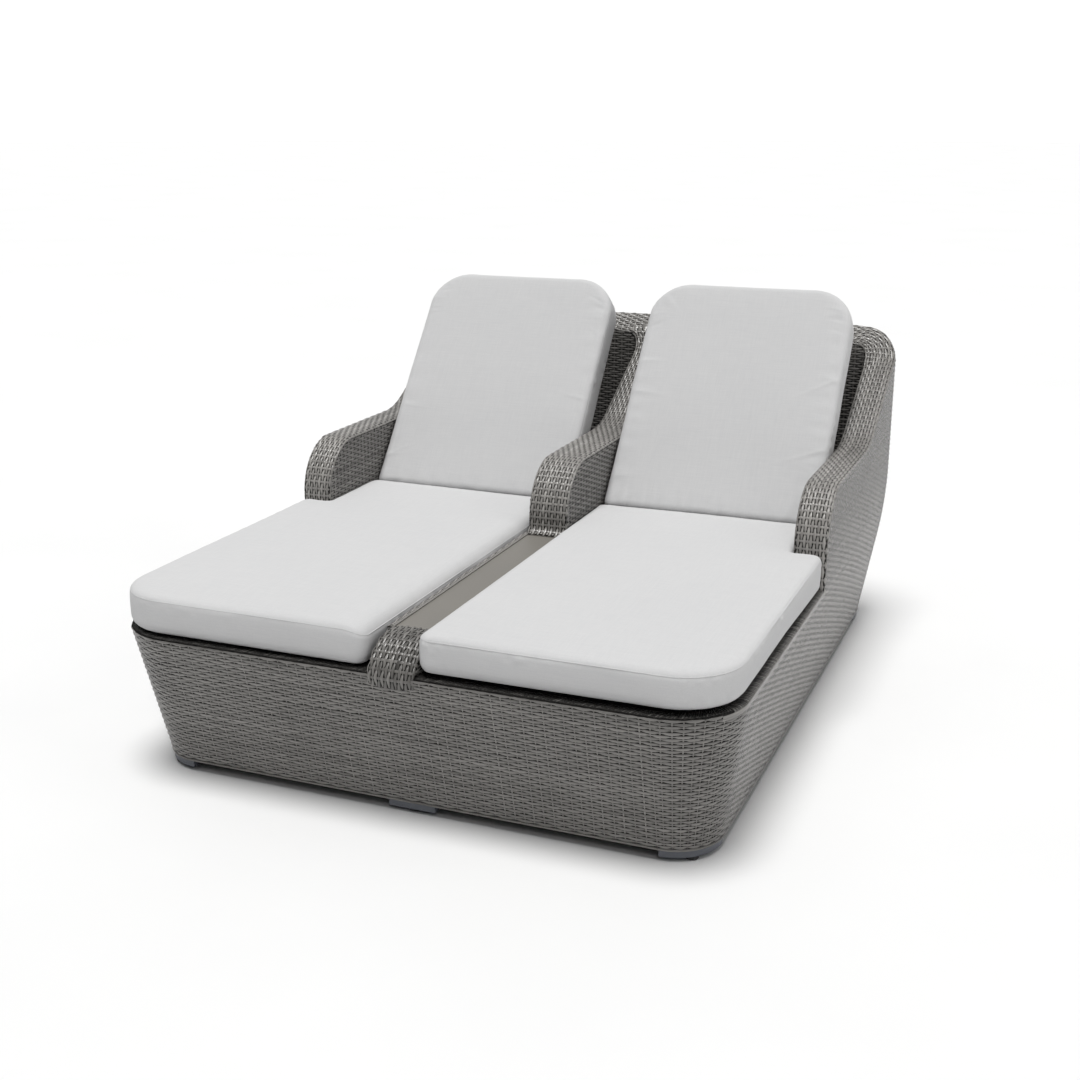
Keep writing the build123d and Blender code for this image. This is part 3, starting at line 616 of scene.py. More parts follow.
class Band:
    """A ruled strip between two edge lines, with a low crown across it and
    rounded shoulders. u runs along its middle and v across it, from half at
    the first line to -half at the second."""

    def __init__(self, edges, width, crown=0.0022, shoulder=0.0075):
        m = (edges[:, :3] + edges[:, 3:]) / 2
        self.s = np.concatenate([[0], np.cumsum(np.linalg.norm(np.diff(m, axis=0), axis=1))])
        self.e, self.w, self.crown, self.r = edges, width, crown, shoulder
        self.flat = width / 2 - shoulder
        self.half = self.flat + shoulder * math.pi / 2
        self.length = self.s[-1]
        T = unit(np.gradient(m, axis=0))
        X = unit(edges[:, 3:] - edges[:, :3])
        self.n = unit(np.cross(X, T))

    def at(self, u):
        return np.stack([np.interp(u, self.s, self.e[:, i]) for i in range(6)], -1)

    def normal(self, u):
        return unit(np.stack([np.interp(u, self.s, self.n[:, i]) for i in range(3)], -1))

    def __call__(self, u, v):
        u, v = np.broadcast_arrays(u, v)
        e, n = self.at(u), self.normal(u)
        mid, X = (e[..., :3] + e[..., 3:]) / 2, e[..., 3:] - e[..., :3]
        half = np.linalg.norm(X, axis=-1) / 2
        X = unit(X)
        a = np.abs(v)
        q = np.clip((a - self.flat) / self.r, 0, math.pi / 2)
        across = np.minimum(a, self.flat) / self.flat * (half - self.r) + self.r * np.sin(q)
        t = np.minimum(a / self.flat, 1.0)
        h = self.crown * (1 - t * t) - self.r * (1 - np.cos(q)) - np.maximum(a - self.half, 0)
        return mid - X * (np.sign(v) * across)[..., None] + n * h[..., None]


U_BAND = Band(EDGES, 0.085)

# where the top of the outer wall lies, along the outline
out = half[:, 3:]


def outline_u(p):
    x, y, z = p
    if y <= Y1 - RR + 1e-6:
        return CUM[2] + (y - (Y0 + RF))
    if x >= HX - RR:
        return CUM[3] + math.atan2(y - (Y1 - RR), x - (HX - RR)) * RR
    return CUM[4] + (HX - RR) - x


OUT_U = np.array([outline_u(p) for p in out])
OUT_Z = out[:, 2]
keep = OUT_U > OUT_U[0] + 1e-6
OUT_U, OUT_Z = OUT_U[keep], OUT_Z[keep]
order = np.argsort(OUT_U)
OUT_U, OUT_Z = OUT_U[order], OUT_Z[order]


def wall_top(u):
    """Height of the wall's upper edge at u, 0 where there is only the rim."""
    u = np.mod(u, ROUND)
    u = np.minimum(u, ROUND - u)
    return np.interp(u, OUT_U, OUT_Z)


def nose_y(z):
    """Front of an arm at height z."""
    if z <= 0.486:
        return ARM_Y
    return ARM_Y + NOSE_R - math.sqrt(max(NOSE_R ** 2 - (z - 0.486) ** 2, 0.0))


U_ARM = CUM[2] + (ARM_Y - (Y0 + RF))
U_STRIP = CUM[1] + 0.16
U_SEAM_F = CUM[2] + (-0.780 - (Y0 + RF))
U_SEAM_R = CUM[2] + (0.900 - (Y0 + RF))
PITCH_Z, N_STAKES = 0.0078, 284
rng0 = np.random.default_rng(7)
STAKE_J = np.arange(-60, N_STAKES + 60)
jit = rng0.normal(0, 0.0011, N_STAKES)
STAKE_U = STAKE_J * (ROUND / N_STAKES) + jit[STAKE_J % N_STAKES]
ROW_V = 0.0086 + PITCH_Z * np.arange(0, 115) + np.random.default_rng(8).normal(0, 0.00020, 115)


def outer_piece(name, ua, ub, k, ks, seed, replaces):
    """A stretch of the outer wall from ua to ub along the outline."""
    M = Woven()
    whole = Rect(0, 0, 1, 1)

    def span(v):
        z = SK + v
        parts = []
        if v <= RV1 - 0.0150:
            parts.append((ua, ub))
        elif v <= RV1 + 0.0010:
            for a, b in ((max(ua, -U_STRIP), min(ub, U_STRIP)), (max(ua, ROUND - U_STRIP), min(ub, ROUND + U_STRIP))):
                if b - a > 0.02:
                    parts.append((a, b))
            for a, b in ((max(ua, U_ARM + 0.006), min(ub, ROUND - U_ARM - 0.006)),):
                if b - a > 0.02:
                    parts.append((a, b))
        else:
            # only where an arm or the shell rises above the rim
            lo = max(ua, U_ARM + (nose_y(z) - ARM_Y) + 0.0052)
            hi = min(ub, ROUND - U_ARM - (nose_y(z) - ARM_Y) - 0.0052)
            if z > ARM_Z - 0.004:
                # the wing and the shell: from where the top edge passes z
                uu = np.linspace(lo, hi, 500)
                ok = wall_top(uu) - 0.0070 > z
                if not ok.any():
                    return []
                lo, hi = uu[ok][0], uu[ok][-1]
            if hi > lo:
                parts.append((lo, hi))
        return parts

    def top_v(u):
        w = np.mod(u, ROUND)
        w = min(w, ROUND - w)
        if w < U_STRIP:
            return RV1 - 0.0010
        if w < U_ARM + 0.0015:
            return RV1 - 0.0088
        return float(wall_top(w)) - SK - 0.0050

    jlo, jhi = np.searchsorted(STAKE_U, [ua - 0.03, ub + 0.03])
    sub = STAKE_U[jlo:jhi]
    j0 = int(STAKE_J[jlo])
    vmax = max(top_v(u) for u in np.linspace(ua, ub, 60))
    rows = ROW_V[ROW_V < vmax + 0.001]

    def reach(u):
        if u < ua - 0.002 or u >= ub - 0.002:
            return []
        return [(0.0015, top_v(u))]

    # painted shade by row height: on the front the top rows darken towards the rim as if in the cushions' shadow; on
    # the sides the rows are painted a little paler low down and darker towards and above the rim, after how the light
    # falls; none at the rear
    def row_painted_shade(v):
        if "front" in name:
            return -0.15 * min(max((v - RV1 + 0.022) / 0.022, 0), 1)
        if "rear" in name:
            return 0.0
        return 0.055 - 0.16 * min(max((v - RV1 + 0.05) / 0.26, 0), 1)

    def waist(u):
        w = np.mod(u, ROUND)
        w = np.minimum(w, ROUND - w)
        return 1 + 0.55 * np.exp(-((w - CUM[1] - 0.15) / 0.12) ** 2)

    strands(M, wall, sub, rows, span, reach, whole.part(0, 0, 1, 0.93), seed, k=k, ks=ks, j0=j0, row_painted_shade=row_painted_shade, waist=waist, w=0.00366, sw=0.0020,
            amp=0.00100, base=0.00115, shade=0.425, stake_shade=-0.01 if k > 3 else -0.10, narrow=0.48, vary=0.045, up=0.0,
            slack=0.7, stake_low=0.0010, sharp=3.0)

    # lower edge: a border strand that turns under the skirt
    us = np.arange(ua, ub + 1e-6, 0.012)
    us[-1] = ub
    x, y = outline(us, SK + 0.0015, -0.0001)
    cord(M, np.column_stack([x, y, np.full(len(us), SK + 0.0012)]), 0.0033, whole.part(0, 0.935, 1, 0.94), 3.1, 0.36)

    # the rim in front of the arms
    for a, b in ((ua, min(ub, U_ARM)), (max(ua, ROUND - U_ARM), ub)):
        if b - a < 0.05:
            continue
        us = np.arange(a, b, 0.010)
        us = np.append(us, b)
        rng = np.random.default_rng(seed + 5)
        for c, d in ((max(a, -b, U_STRIP) if a >= 0 else U_STRIP, b), (a, min(b, -U_STRIP) if a < 0 else a)):
            if d - c < 0.01:
                continue
            run = np.append(np.arange(c, d, 0.010), d)
            for n, (v, w, h) in enumerate(((RV1 - 0.0092, 0.0036, 0.0013), (RV1 - 0.0024, 0.0037, 0.0016))):
                single(M, wall_rim, run, v + 0.0002 * np.sin(run * 23), w, h + 0.0001 * np.sin(run * 57),
                       whole.part(0, 0.942 + 0.005 * n + 0.010 * (c > 0), 1, 0.946 + 0.005 * n + 0.010 * (c > 0)), 5.0 + n, 0.50, crown=0.0013)
        count = round((b - a) / 0.0082)
        step = (b - a) / count
        for t in range(count):
            u = a + (t + 0.5) * step + rng.normal(0, 0.0004)
            from_middle = min(np.mod(u, ROUND), ROUND - np.mod(u, ROUND))
            side = float(np.clip((from_middle - CUM[1] - 0.12) / 0.20, 0, 1))
            vs = np.array([RV1 + 0.0006, RV1 + 0.0040, RV2 + 0.003, RV2 + 0.012, RV2 + 0.034])
            hs = np.array([0.0002, 0.0009, 0.0010, 0.0009, 0.0004])
            if side < 0.35:
                vs = np.array([RV2 + 0.0003, RV2 + 0.0030, RV2 + 0.008, RV2 + 0.016, RV2 + 0.034])
                hs = np.array([-0.0006, 0.0003, 0.0006, 0.0006, 0.0004])
            av, drop = ACROSS[3]
            U = u + 0.0033 * av[None, :] * np.ones((5, 1)) + (vs[:, None] - vs[0]) * (0.18 if side > 0.35 else 0.45)
            V = np.broadcast_to(vs[:, None], U.shape)
            P = wall_rim(U, V) + normals(wall_rim, U, V) * (hs[:, None] + 0.0009 * drop)[..., None]
            lay = np.stack([V, np.broadcast_to(av, U.shape), np.full(U.shape, rng.random() * 10)], -1)
            c = whole.part(0, 0.962, 1, 0.968)
            # painted shade: the cross strands over the rim are painted darker in front than beside the seats, and
            # darker the further in they reach under the cushion
            shade = (np.array([0.08, 0.05, 0.02, -0.05, -0.10]) * (1 - side) + np.array([0.48, 0.32, 0.20, 0.10, 0.07]) * side
                     + rng.normal(0, 0.04))
            M.grid(P, lay, shade[:, None], c(np.broadcast_to((t + 0.5 + 0.4 * av) / count, U.shape), ((vs - vs[0]) / (vs[-1] - vs[0]))[:, None]), flip=True)
        # the ledge beneath is the near-black painted-shade sheet, for the shade under the cushions
        backing(M, wall_rim, us, lambda u: 0.0, lambda u: RV2 + 0.040, 26, whole.part(0, 0.97, 1, 0.984))

    # the wall that rises above the rim
    lo, hi = max(ua, U_ARM + 0.001), min(ub, ROUND - U_ARM - 0.001)
    if hi - lo > 0.05:
        us = np.unique(np.concatenate([np.arange(lo, hi, 0.012), [hi],
                                       U_ARM + 0.15 * (1 - np.cos(np.linspace(0.02, math.pi / 2, 14))),
                                       ROUND - U_ARM - 0.15 * (1 - np.cos(np.linspace(0.02, math.pi / 2, 14)))]))
        us = us[(us >= lo) & (us <= hi)]

        def top(u):
            return float(wall_top(u)) - SK - 0.0040
        backing(M, wall, us, lambda u: 0.0, top, 50, whole.part(0, 0.985, 1, 1.0))
    return M.build(name, replaces=replaces)


# ------------------------------------------------------------ arms, shell top
def band_piece(name, band, sa, sb, count, seed, replaces, k=4, cords=None, cross=0.0200, extra=None, shade=0.69,
               short=0.0, narrow=0.50):
    M = Woven()
    whole = Rect(0, 0, 1, 1)
    width = 2 * band.half
    rows = -width / 2 + width * (np.arange(count) + 0.5) / count
    pitch = width / count
    n = round(band.length / cross)
    su = np.linspace(0, band.length, n + 1)
    su = su + np.random.default_rng(seed).normal(0, 0.0004, len(su))
    jlo, jhi = np.searchsorted(su, [sa - 0.03, sb + 0.03])
    jlo, jhi = max(jlo - 1, 0), min(jhi + 1, len(su))
    sub = su[jlo:jhi]
    inside = lambda u: sa - 0.002 <= u < sb - 0.002
    edge = band.half - 0.0006
    full = band.length

    def waist(u):
        # drawn wider open round the noses than along the tops
        return 0.50 + 0.42 * np.exp(-(np.minimum(u, full - u) / 0.27) ** 2)

    def along(u):
        # painted light and shade: paler on the noses and the tops of the arms than up the wings
        ends = np.minimum(u, full - u) if full > 2.5 else u
        return 0.08 - 0.20 * np.clip((ends - 0.45) / 0.22, 0, 1)

    # painted light: the bands' strands default to a paler tint (shade 0.69) than the walls' (0.425), for the light on
    # these upper faces
    strands(M, band, sub, rows, lambda v: [(sa, sb)],
            lambda u: [(-edge, edge)] if inside(u) and sa + 0.002 < u else [],
            whole.part(0, 0, 1, 0.90), seed, k=k, ks=3, w=pitch * 0.425, sw=0.0031, j0=jlo, amp=0.0016, base=0.0014,
            up=0.0, shade=shade, narrow=narrow, sharp=1.7, waist=waist, along=along)
    us = band.s[(band.s > sa) & (band.s < sb)]
    us = np.concatenate([[sa + short], us[us > sa + short + 1e-4], [sb]])
    us = us[np.concatenate([[True], np.diff(us) > 1e-5])]
    if cords:
        lo, hi = max(sa, cords[0]), min(sb, cords[1])
        if hi - lo > 0.02:
            dense = np.append(np.arange(lo, hi, 0.006), hi)
            for side in (-1, 1):
                v = np.full(len(dense), side * (band.half - 0.0030))
                fade = np.clip((dense - cords[0]) / 0.05, 0, 1) * np.clip((cords[1] - dense) / 0.05, 0, 1)
                h = -0.0030 + 0.0036 * fade + 0.0002 * np.sin(dense * 2 * math.pi / cross)
                c = band(dense, v) + normals(band, dense, v) * h[:, None]
                y0 = 0.905 + 0.02 * (side > 0)
                cord(M, c, 0.0021, whole.part(0, y0, 1, y0 + 0.015), 2.0 + side, 0.46, sides=8)
    edge = band.half - 0.0008
    backing(M, band, us, lambda u: -edge, lambda u: edge, 15, whole.part(0, 0.95, 1, 0.97), inner=0.0020)
    if extra:
        extra(M, whole)
    return M.build(name, replaces=replaces)


# ------------------------------------------------------------ flat panels
def plane_surf(origin, du, dv):
    o, a, b = (np.array(q, float) for q in (origin, du, dv))

    def surf(u, v):
        u, v = np.broadcast_arrays(u, v)
        return o + u[..., None] * a + v[..., None] * b
    return surf


def flat_patch(M, surf, u0, u1, lo, hi, cell, seed, k=3, ks=2, pitch_u=0.0242, pitch_v=0.0078, shade=0.5,
               inner=0.0030, u_dense=(), gap=0.003, deep=0.0015, stake_shade=0.0):
    """Plain weave over the flat region u0..u1, lo(u)..hi(u)."""
    nu = max(int(round((u1 - u0) / pitch_u)), 2)
    stakes = u0 + (u1 - u0) * (np.arange(nu) + 0.5) / nu
    stakes = stakes + np.random.default_rng(seed + 1).normal(0, 0.0006, nu)
    stakes = np.concatenate([[2 * u0 - stakes[0]], stakes, [2 * u1 - stakes[-1]]])
    grid = np.unique(np.concatenate([np.linspace(u0, u1, 160), np.asarray(u_dense, float)]))
    LO, HI = np.array([lo(u) for u in grid]), np.array([hi(u) for u in grid])
    vmin, vmax = LO.min(), HI.max()
    rows = np.arange(vmin + pitch_v * 0.55, vmax - pitch_v * 0.3, pitch_v)

    def span(v):
        ok = (LO < v - gap * 0.6) & (HI > v + gap)
        parts, i = [], 0
        while i < len(grid):
            if ok[i]:
                j = i
                while j + 1 < len(grid) and ok[j + 1]:
                    j += 1
                if j > i:
                    parts.append((grid[i] + 0.0006, grid[j] - 0.0006))
                i = j + 1
            else:
                i += 1
        return parts

    def reach(u):
        if not u0 < u < u1:
            return []
        return [(float(np.interp(u, grid, LO)) + 0.001, float(np.interp(u, grid, HI)) - 0.0025)]
    strands(M, surf, stakes, rows, span, reach, cell.part(0, 0, 1, 0.93), seed, k=k, ks=ks, shade=shade, w=0.00358 * pitch_v / 0.0078,
            amp=deep, base=deep - 0.0001, stake_shade=stake_shade)
    backing(M, surf, grid[::3] if (len(grid) - 1) % 3 == 0 else np.append(grid[::3], grid[-1]),
            lambda u: float(np.interp(u, grid, LO)), lambda u: float(np.interp(u, grid, HI)) - 0.001, 40,
            cell.part(0, 0.94, 1, 1), inner=inner)


ARM_IN_Y = np.concatenate([ARM[:, 0], corner[corner[:, 0] > 0.6895, 1]])
ARM_IN_Z = np.concatenate([ARM[:, 1], corner[corner[:, 0] > 0.6895, 2]])
sel = ARM_IN_Y > ARM_Y + 1e-5
PROF_Y, PROF_Z = np.concatenate([[ARM_Y], ARM_IN_Y[sel]]), np.concatenate([[0.486], ARM_IN_Z[sel]])


def arm_top(y):
    return float(np.interp(y, PROF_Y, PROF_Z))


# ------------------------------------------------------------ make the weave
outer_piece("front_weave", -U_SEAM_F, U_SEAM_F, 4, 3, 11, ["front_woven_panel"])
outer_piece("right_side_weave", U_SEAM_F, U_SEAM_R, 4, 3, 12, ["right_side_woven_panel"])
outer_piece("rear_weave", U_SEAM_R, ROUND - U_SEAM_R, 3, 2, 13, ["rear_woven_panel"])
outer_piece("left_side_weave", ROUND - U_SEAM_R, ROUND - U_SEAM_F, 3, 3, 14, ["left_side_woven_panel"])

S_SEAM = float(np.interp(0.870, half[:, 1][:len(ARM) + 30], U_BAND.s[:len(ARM) + 30]))
S_TOP = 0.020
CORDS = (S_TOP, U_BAND.length - S_TOP)
band_piece("right_arm_band_weave", U_BAND, 0.0, S_SEAM, 11, 21, ["right_arm_woven_band"], cords=CORDS)
band_piece("shell_top_weave", U_BAND, S_SEAM, U_BAND.length - S_SEAM, 11, 21, ["shell_top_woven_band"], cords=CORDS)
band_piece("left_arm_band_weave", U_BAND, U_BAND.length - S_SEAM, U_BAND.length, 11, 21, ["left_arm_woven_band"], cords=CORDS)


def arm_side(name, x, face, seed, replaces, y_end=BACK_Y, z0=0.379):
    """Woven side of an arm in the plane x, facing face * X."""
    M = Woven()
    sgn = 1.0 if face > 0 else -1.0
    surf = plane_surf((x, 0, 0), (0, sgn, 0), (0, 0, 1))
    ya, yb = ARM_Y + 0.002, y_end
    u0, u1 = sorted((sgn * ya, sgn * yb))
    dense = [sgn * (ARM_Y + NOSE_R - NOSE_R * math.cos(a)) for a in np.linspace(0.1, 1.5, 30)]
    flat_patch(M, surf, u0, u1, lambda u: z0, lambda u: arm_top(sgn * u) - 0.0055, Rect(0, 0, 1, 1), seed, u_dense=dense,
               pitch_u=0.0218, pitch_v=0.0073, shade=0.46)
    return M.build(name, replaces=replaces)


arm_side("right_arm_inner_weave", ARM_IN, -1, 31, ["right_arm_inner_woven_panel"])
arm_side("left_arm_inner_weave", -ARM_IN, 1, 32, ["left_arm_inner_woven_panel"])

BACK_X = corner[(corner[:, 1] > 0.9120) & (corner[:, 0] > 0.55)]
bx, bz = BACK_X[:, 0][::-1], BACK_X[:, 2][::-1]


def back_top(x):
    x = abs(x)
    z = float(np.interp(x, bx, bz)) if x > 0.55 else BACK_Z + 0.010 * min(max((x - 0.09) / 0.08, 0), 1)
    if x < MID + 0.050:  # rounded where it meets the middle arm
        q = 1 - (x - MID) / 0.050
        z -= 0.044 * (1 - math.sqrt(max(1 - q * q, 0.0)))
    return z


for name, side, seed in (("right", 1, 35), ("left", -1, 36)):
    M = Woven()
    surf = plane_surf((0, BACK_Y, 0), (1, 0, 0), (0, 0, 1))
    u0, u1 = sorted((side * MID, side * ARM_IN))
    # painted light: the inner backs' strands are painted paler (0.62) to lift the deep shade they stand in, and their
    # stakes are painted darker (-0.20) as if shadowed
    flat_patch(M, surf, u0, u1, lambda u: 0.363, lambda u: back_top(u) - 0.0045, Rect(0, 0, 1, 1), seed,
               u_dense=[side * (MID + 0.050 * q) for q in np.linspace(0, 1, 14)], shade=0.62, deep=0.0013, stake_shade=-0.20)
    M.build(f"{name}_inner_back_weave", replaces=[f"{name}_inner_back_woven_panel"])

# middle arm: a wide band over the top and a woven side each way
foot = [(-0.0660, 0.4478), (-0.0600, 0.4479), (-0.0520, 0.4500), (-0.0440, 0.4560), (-0.0405, 0.4650), (-0.0400, 0.4740)]
foot = chaikin(foot, 2)
mid_line = np.concatenate([foot, ARM[ARM[:, 1] > 0.478]])
tail = chaikin([(0.822, 0.7891), (0.842, 0.7999), (0.864, 0.8125), (0.886, 0.834), (0.902, 0.857), (0.915, 0.8745), (0.930, 0.884)], 3)
mid_line = np.concatenate([mid_line, tail[1:]])


def flare(y, z):
    q = np.clip((z - 0.822) / 0.054, 0, 1)
    return MID + 0.042 * (1 - np.sqrt(np.maximum(1 - q * q, 0))) * (y > 0.85)


mx = np.array([flare(y, z) for y, z in mid_line])
MID_BAND = Band(np.column_stack([-mx, mid_line, mx, mid_line]), 0.110)


band_piece("middle_arm_band_weave", MID_BAND, 0.0, MID_BAND.length, 14, 41, ["middle_arm_woven_cover"],
           cords=(0.030, MID_BAND.length + 0.02), short=0.012)
arm_side("middle_arm_right_side_weave", MID, 1, 42, (), z0=0.379)
arm_side("middle_arm_left_side_weave", -MID, -1, 43, (), z0=0.379)

# console: rounded nose, lips beside the tray, and its sides
nose = chaikin([(-0.9895, 0.3510), (-0.9925, 0.3610), (-0.9930, 0.3720), (-0.9895, 0.3830), (-0.9800, 0.3990), (-0.9660, 0.4155),
                (-0.9480, 0.4290), (-0.9260, 0.4390), (-0.9000, 0.4455), (-0.8780, 0.4472), (-0.8640, 0.4474)], 3)
NOSE = Band(np.column_stack([np.full(len(nose), -0.057), nose, np.full(len(nose), 0.057), nose]), 0.114, crown=0.0030)


def console_extra(M, whole):
    rng = np.random.default_rng(55)
    for side in (-1, 1):
        ys = np.arange(-0.868, -0.052, 0.006)
        for n, (x, z, r) in enumerate(((0.0520, 0.4468, 0.0025), (0.0563, 0.4462, 0.0026))):
            pts = np.column_stack([np.full(len(ys), side * x) + 0.0002 * np.sin(ys * 90 + n), ys,
                                   z + 0.00025 * np.sin(ys * 2 * math.pi / 0.02 + n * math.pi)])
            cord(M, pts, r, whole.part(0, 0.972 + 0.004 * n, 1, 0.975 + 0.004 * n), 7.0 + n + side, 0.62, sides=8)
        # short wraps over the lip
        for y in np.arange(-0.862, -0.060, 0.0100):
            y = y + rng.normal(0, 0.0004)
            prof = np.array([(0.0515, 0.4466), (0.0530, 0.4498), (0.0560, 0.4502), (0.0588, 0.4478), (0.0594, 0.4420), (0.0590, 0.4340)])
            a = np.array([-1.0, 0.0, 1.0])
            P = np.empty((len(prof), 3, 3))
            P[:, :, 0] = side * (prof[:, :1] - 0.0003 * np.abs(a))
            P[:, :, 1] = y + 0.0024 * a
            P[:, :, 2] = prof[:, 1:] - 0.0006 * np.abs(a)
            s = np.linspace(0, 0.02, len(prof))
            lay = np.stack(np.broadcast_arrays(s[:, None], a[None, :], rng.random() * 10), -1)
            M.grid(P, lay, 0.60 + rng.normal(0, 0.05), whole.part(0, 0.981, 1, 0.984)(((y + 0.87) / 0.82 + 0.002 * a)[None, :], s[:, None] / 0.02), flip=side < 0)
    # the wider woven lip towards the left seat
    lip = plane_surf((-0.0575, 0, 0.4474), (0, 1, 0), (-1, 0, -0.30))
    stakes = np.arange(-0.8860, -0.0300, 0.0232)
    # painted light: the lip's strands are painted pale (0.72) to offset the shade they lie in beside the left cushion
    strands(M, lip, stakes, [0.0022, 0.0078], lambda v: [(-0.868, -0.050)], lambda u: [(-0.0004, 0.0102)] if -0.868 < u < -0.050 else [],
            whole.part(0, 0.9855, 1, 0.9895), 58, k=3, ks=3, w=0.0027, sw=0.0020, amp=0.0011, base=0.0012, crown=0.0009,
            shade=0.72, stake_shade=0.08, narrow=0.60, sharp=1.5, up=0.0, slack=0.6)
    backing(M, lip, np.arange(-0.868, -0.049, 0.010), lambda u: -0.0004, lambda u: 0.0104, 4, whole.part(0, 0.990, 1, 0.992), inner=0.0018)
    # sides of the console
    for side, y0 in ((-1, 0.9925), (1, 0.9962)):
        sgn = side
        surf = plane_surf((side * 0.057, 0, 0), (0, sgn, 0), (0, 0, 1))
        ny, nz = nose[:, 0], nose[:, 1]

        def hi(u):
            y = sgn * u
            return 0.4440 if y > -0.88 else max(float(np.interp(y, ny, nz)) - 0.0055, 0.380)
        u0, u1 = sorted((sgn * -0.978, sgn * -0.041))
        flat_patch(M, surf, u0, u1, lambda u: 0.3785, hi, whole.part(0, y0, 1, y0 + 0.0035), 56 + side, inner=0.0025)


# painted shade: the console's strands are painted far darker (0.24) than the arms' (0.69), for the shade it lies in
# between the seats
band_piece("console_weave", NOSE, 0.0, NOSE.length, 15, 51, ["console_woven_wrap"], extra=console_extra, shade=0.24, narrow=0.44)

# backrest panels: the weave on their rear faces
BACK_A = math.radians(52)
S_DIR = np.array([0, math.cos(BACK_A), math.sin(BACK_A)])
N_DIR = np.array([0, -math.sin(BACK_A), math.cos(BACK_A)])
FOOT = np.array([0, 0.2393, 0.4698])
for name, side, seed in (("right", 1, 61), ("left", -1, 62)):
    M = Woven()
    o = FOOT + N_DIR * (-0.1015) + np.array([side * 0.373, 0, 0])
    surf = plane_surf(o, (-1, 0, 0), S_DIR)
    hw, s0, s1, r = 0.2570, 0.0005, 0.7010, 0.070

    def hi(u):
        d = abs(u) - (hw - r)
        return s1 if d <= 0 else s1 - r + math.sqrt(max(r * r - d * d, 0.0))
    flat_patch(M, surf, -hw, hw, lambda u: s0, hi, Rect(0, 0, 1, 1), seed, inner=0.0003,
               u_dense=[q * (hw - r + r * math.sin(a)) for q in (-1, 1) for a in np.linspace(0, 1.5, 10)], gap=0.004)
    M.build(f"{name}_backrest_weave", body=f"{name}_backrest")


# ------------------------------------------------------------ cushions
def rounded(points, radii, n=10):
    """Closed outline with each corner rounded."""
    pts = []
    P = [np.array(p, float) for p in points]
    for i, p in enumerate(P):
        r = radii[i]
        a, b = P[i - 1], P[(i + 1) % len(P)]
        if r <= 0:
            pts.append(p)
            continue
        da, db = (a - p) / np.linalg.norm(a - p), (b - p) / np.linalg.norm(b - p)
        half_angle = math.acos(np.clip(da @ db, -1, 1)) / 2
        t = r / math.tan(half_angle)
        c = p + (da + db) / np.linalg.norm(da + db) * (r / math.sin(half_angle))
        s, e = p + da * t - c, p + db * t - c
        sweep = math.pi - 2 * half_angle
        sgn = 1 if s[0] * e[1] - s[1] * e[0] > 0 else -1
        for k in range(n + 1):
            q = sgn * sweep * k / n
            pts.append(c + np.array([s[0] * math.cos(q) - s[1] * math.sin(q), s[0] * math.sin(q) + s[1] * math.cos(q)]))
    return pts


def foam_block(name, outline_pts, z0, z1, top_r, low_r):
    """A block with rounded edges, the size of the foam."""
    bm = bmesh.new()
    lo = [bm.verts.new((x, y, z0)) for x, y in outline_pts]
    hi = [bm.verts.new((x, y, z1)) for x, y in outline_pts]
    area = sum(a[0] * b[1] - a[1] * b[0] for a, b in zip(outline_pts, outline_pts[1:] + outline_pts[:1]))
    if area < 0:
        lo, hi = lo[::-1], hi[::-1]
    bm.faces.new(lo[::-1])
    bm.faces.new(hi)
    n = len(lo)
    for i in range(n):
        j = (i + 1) % n
        bm.faces.new((lo[i], lo[j], hi[j], hi[i]))
    bm.normal_update()
    for z, r in ((z1, top_r), (z0, low_r)):
        edges = [e for e in bm.edges if all(abs(v.co.z - z) < 1e-6 for v in e.verts)]
        bmesh.ops.bevel(bm, geom=edges, offset=r, segments=6, profile=0.5, affect="EDGES", clamp_overlap=True)
    me = bpy.data.meshes.new(name)
    bm.to_mesh(me)
    bm.free()
    ob = bpy.data.objects.new(name, me)
    bpy.context.scene.collection.objects.link(ob)
    return ob


def evaluated(ob, name):
    dg = bpy.context.evaluated_depsgraph_get()
    dg.update()
    return bpy.data.meshes.new_from_object(ob.evaluated_get(dg), preserve_all_data_layers=True, depsgraph=dg)


def coords(me):
    c = np.empty(len(me.vertices) * 3, np.float32)
    me.vertices.foreach_get("co", c)
    return c.reshape(-1, 3).astype(float)


def set_coords(me, c):
    me.vertices.foreach_set("co", c.astype(np.float32).ravel())
    me.update()


def remeshed(ob, voxel):
    m = ob.modifiers.new("remesh", "REMESH")
    m.mode = "VOXEL"
    m.voxel_size = voxel
    m.use_smooth_shade = True
    me = evaluated(ob, ob.name)
    ob.modifiers.remove(m)
    old = ob.data
    ob.data = me
    bpy.data.meshes.remove(old)


def relax(me, times, weight=0.5, pin=None):
    """Smooths a mesh by moving each vertex towards its neighbours."""
    e = np.empty(len(me.edges) * 2, np.int32)
    me.edges.foreach_get("vertices", e)
    e = e.reshape(-1, 2)
    c = coords(me)
    n = len(c)
    deg = np.bincount(e.ravel(), minlength=n).astype(float)[:, None]
    for _ in range(times):
        acc = np.zeros_like(c)
        for k in range(3):
            acc[:, k] = np.bincount(e[:, 0], c[e[:, 1], k], n) + np.bincount(e[:, 1], c[e[:, 0], k], n)
        d = (acc / np.maximum(deg, 1) - c) * weight
        if pin is not None:
            d *= pin[:, None]
        c += d
    set_coords(me, c)


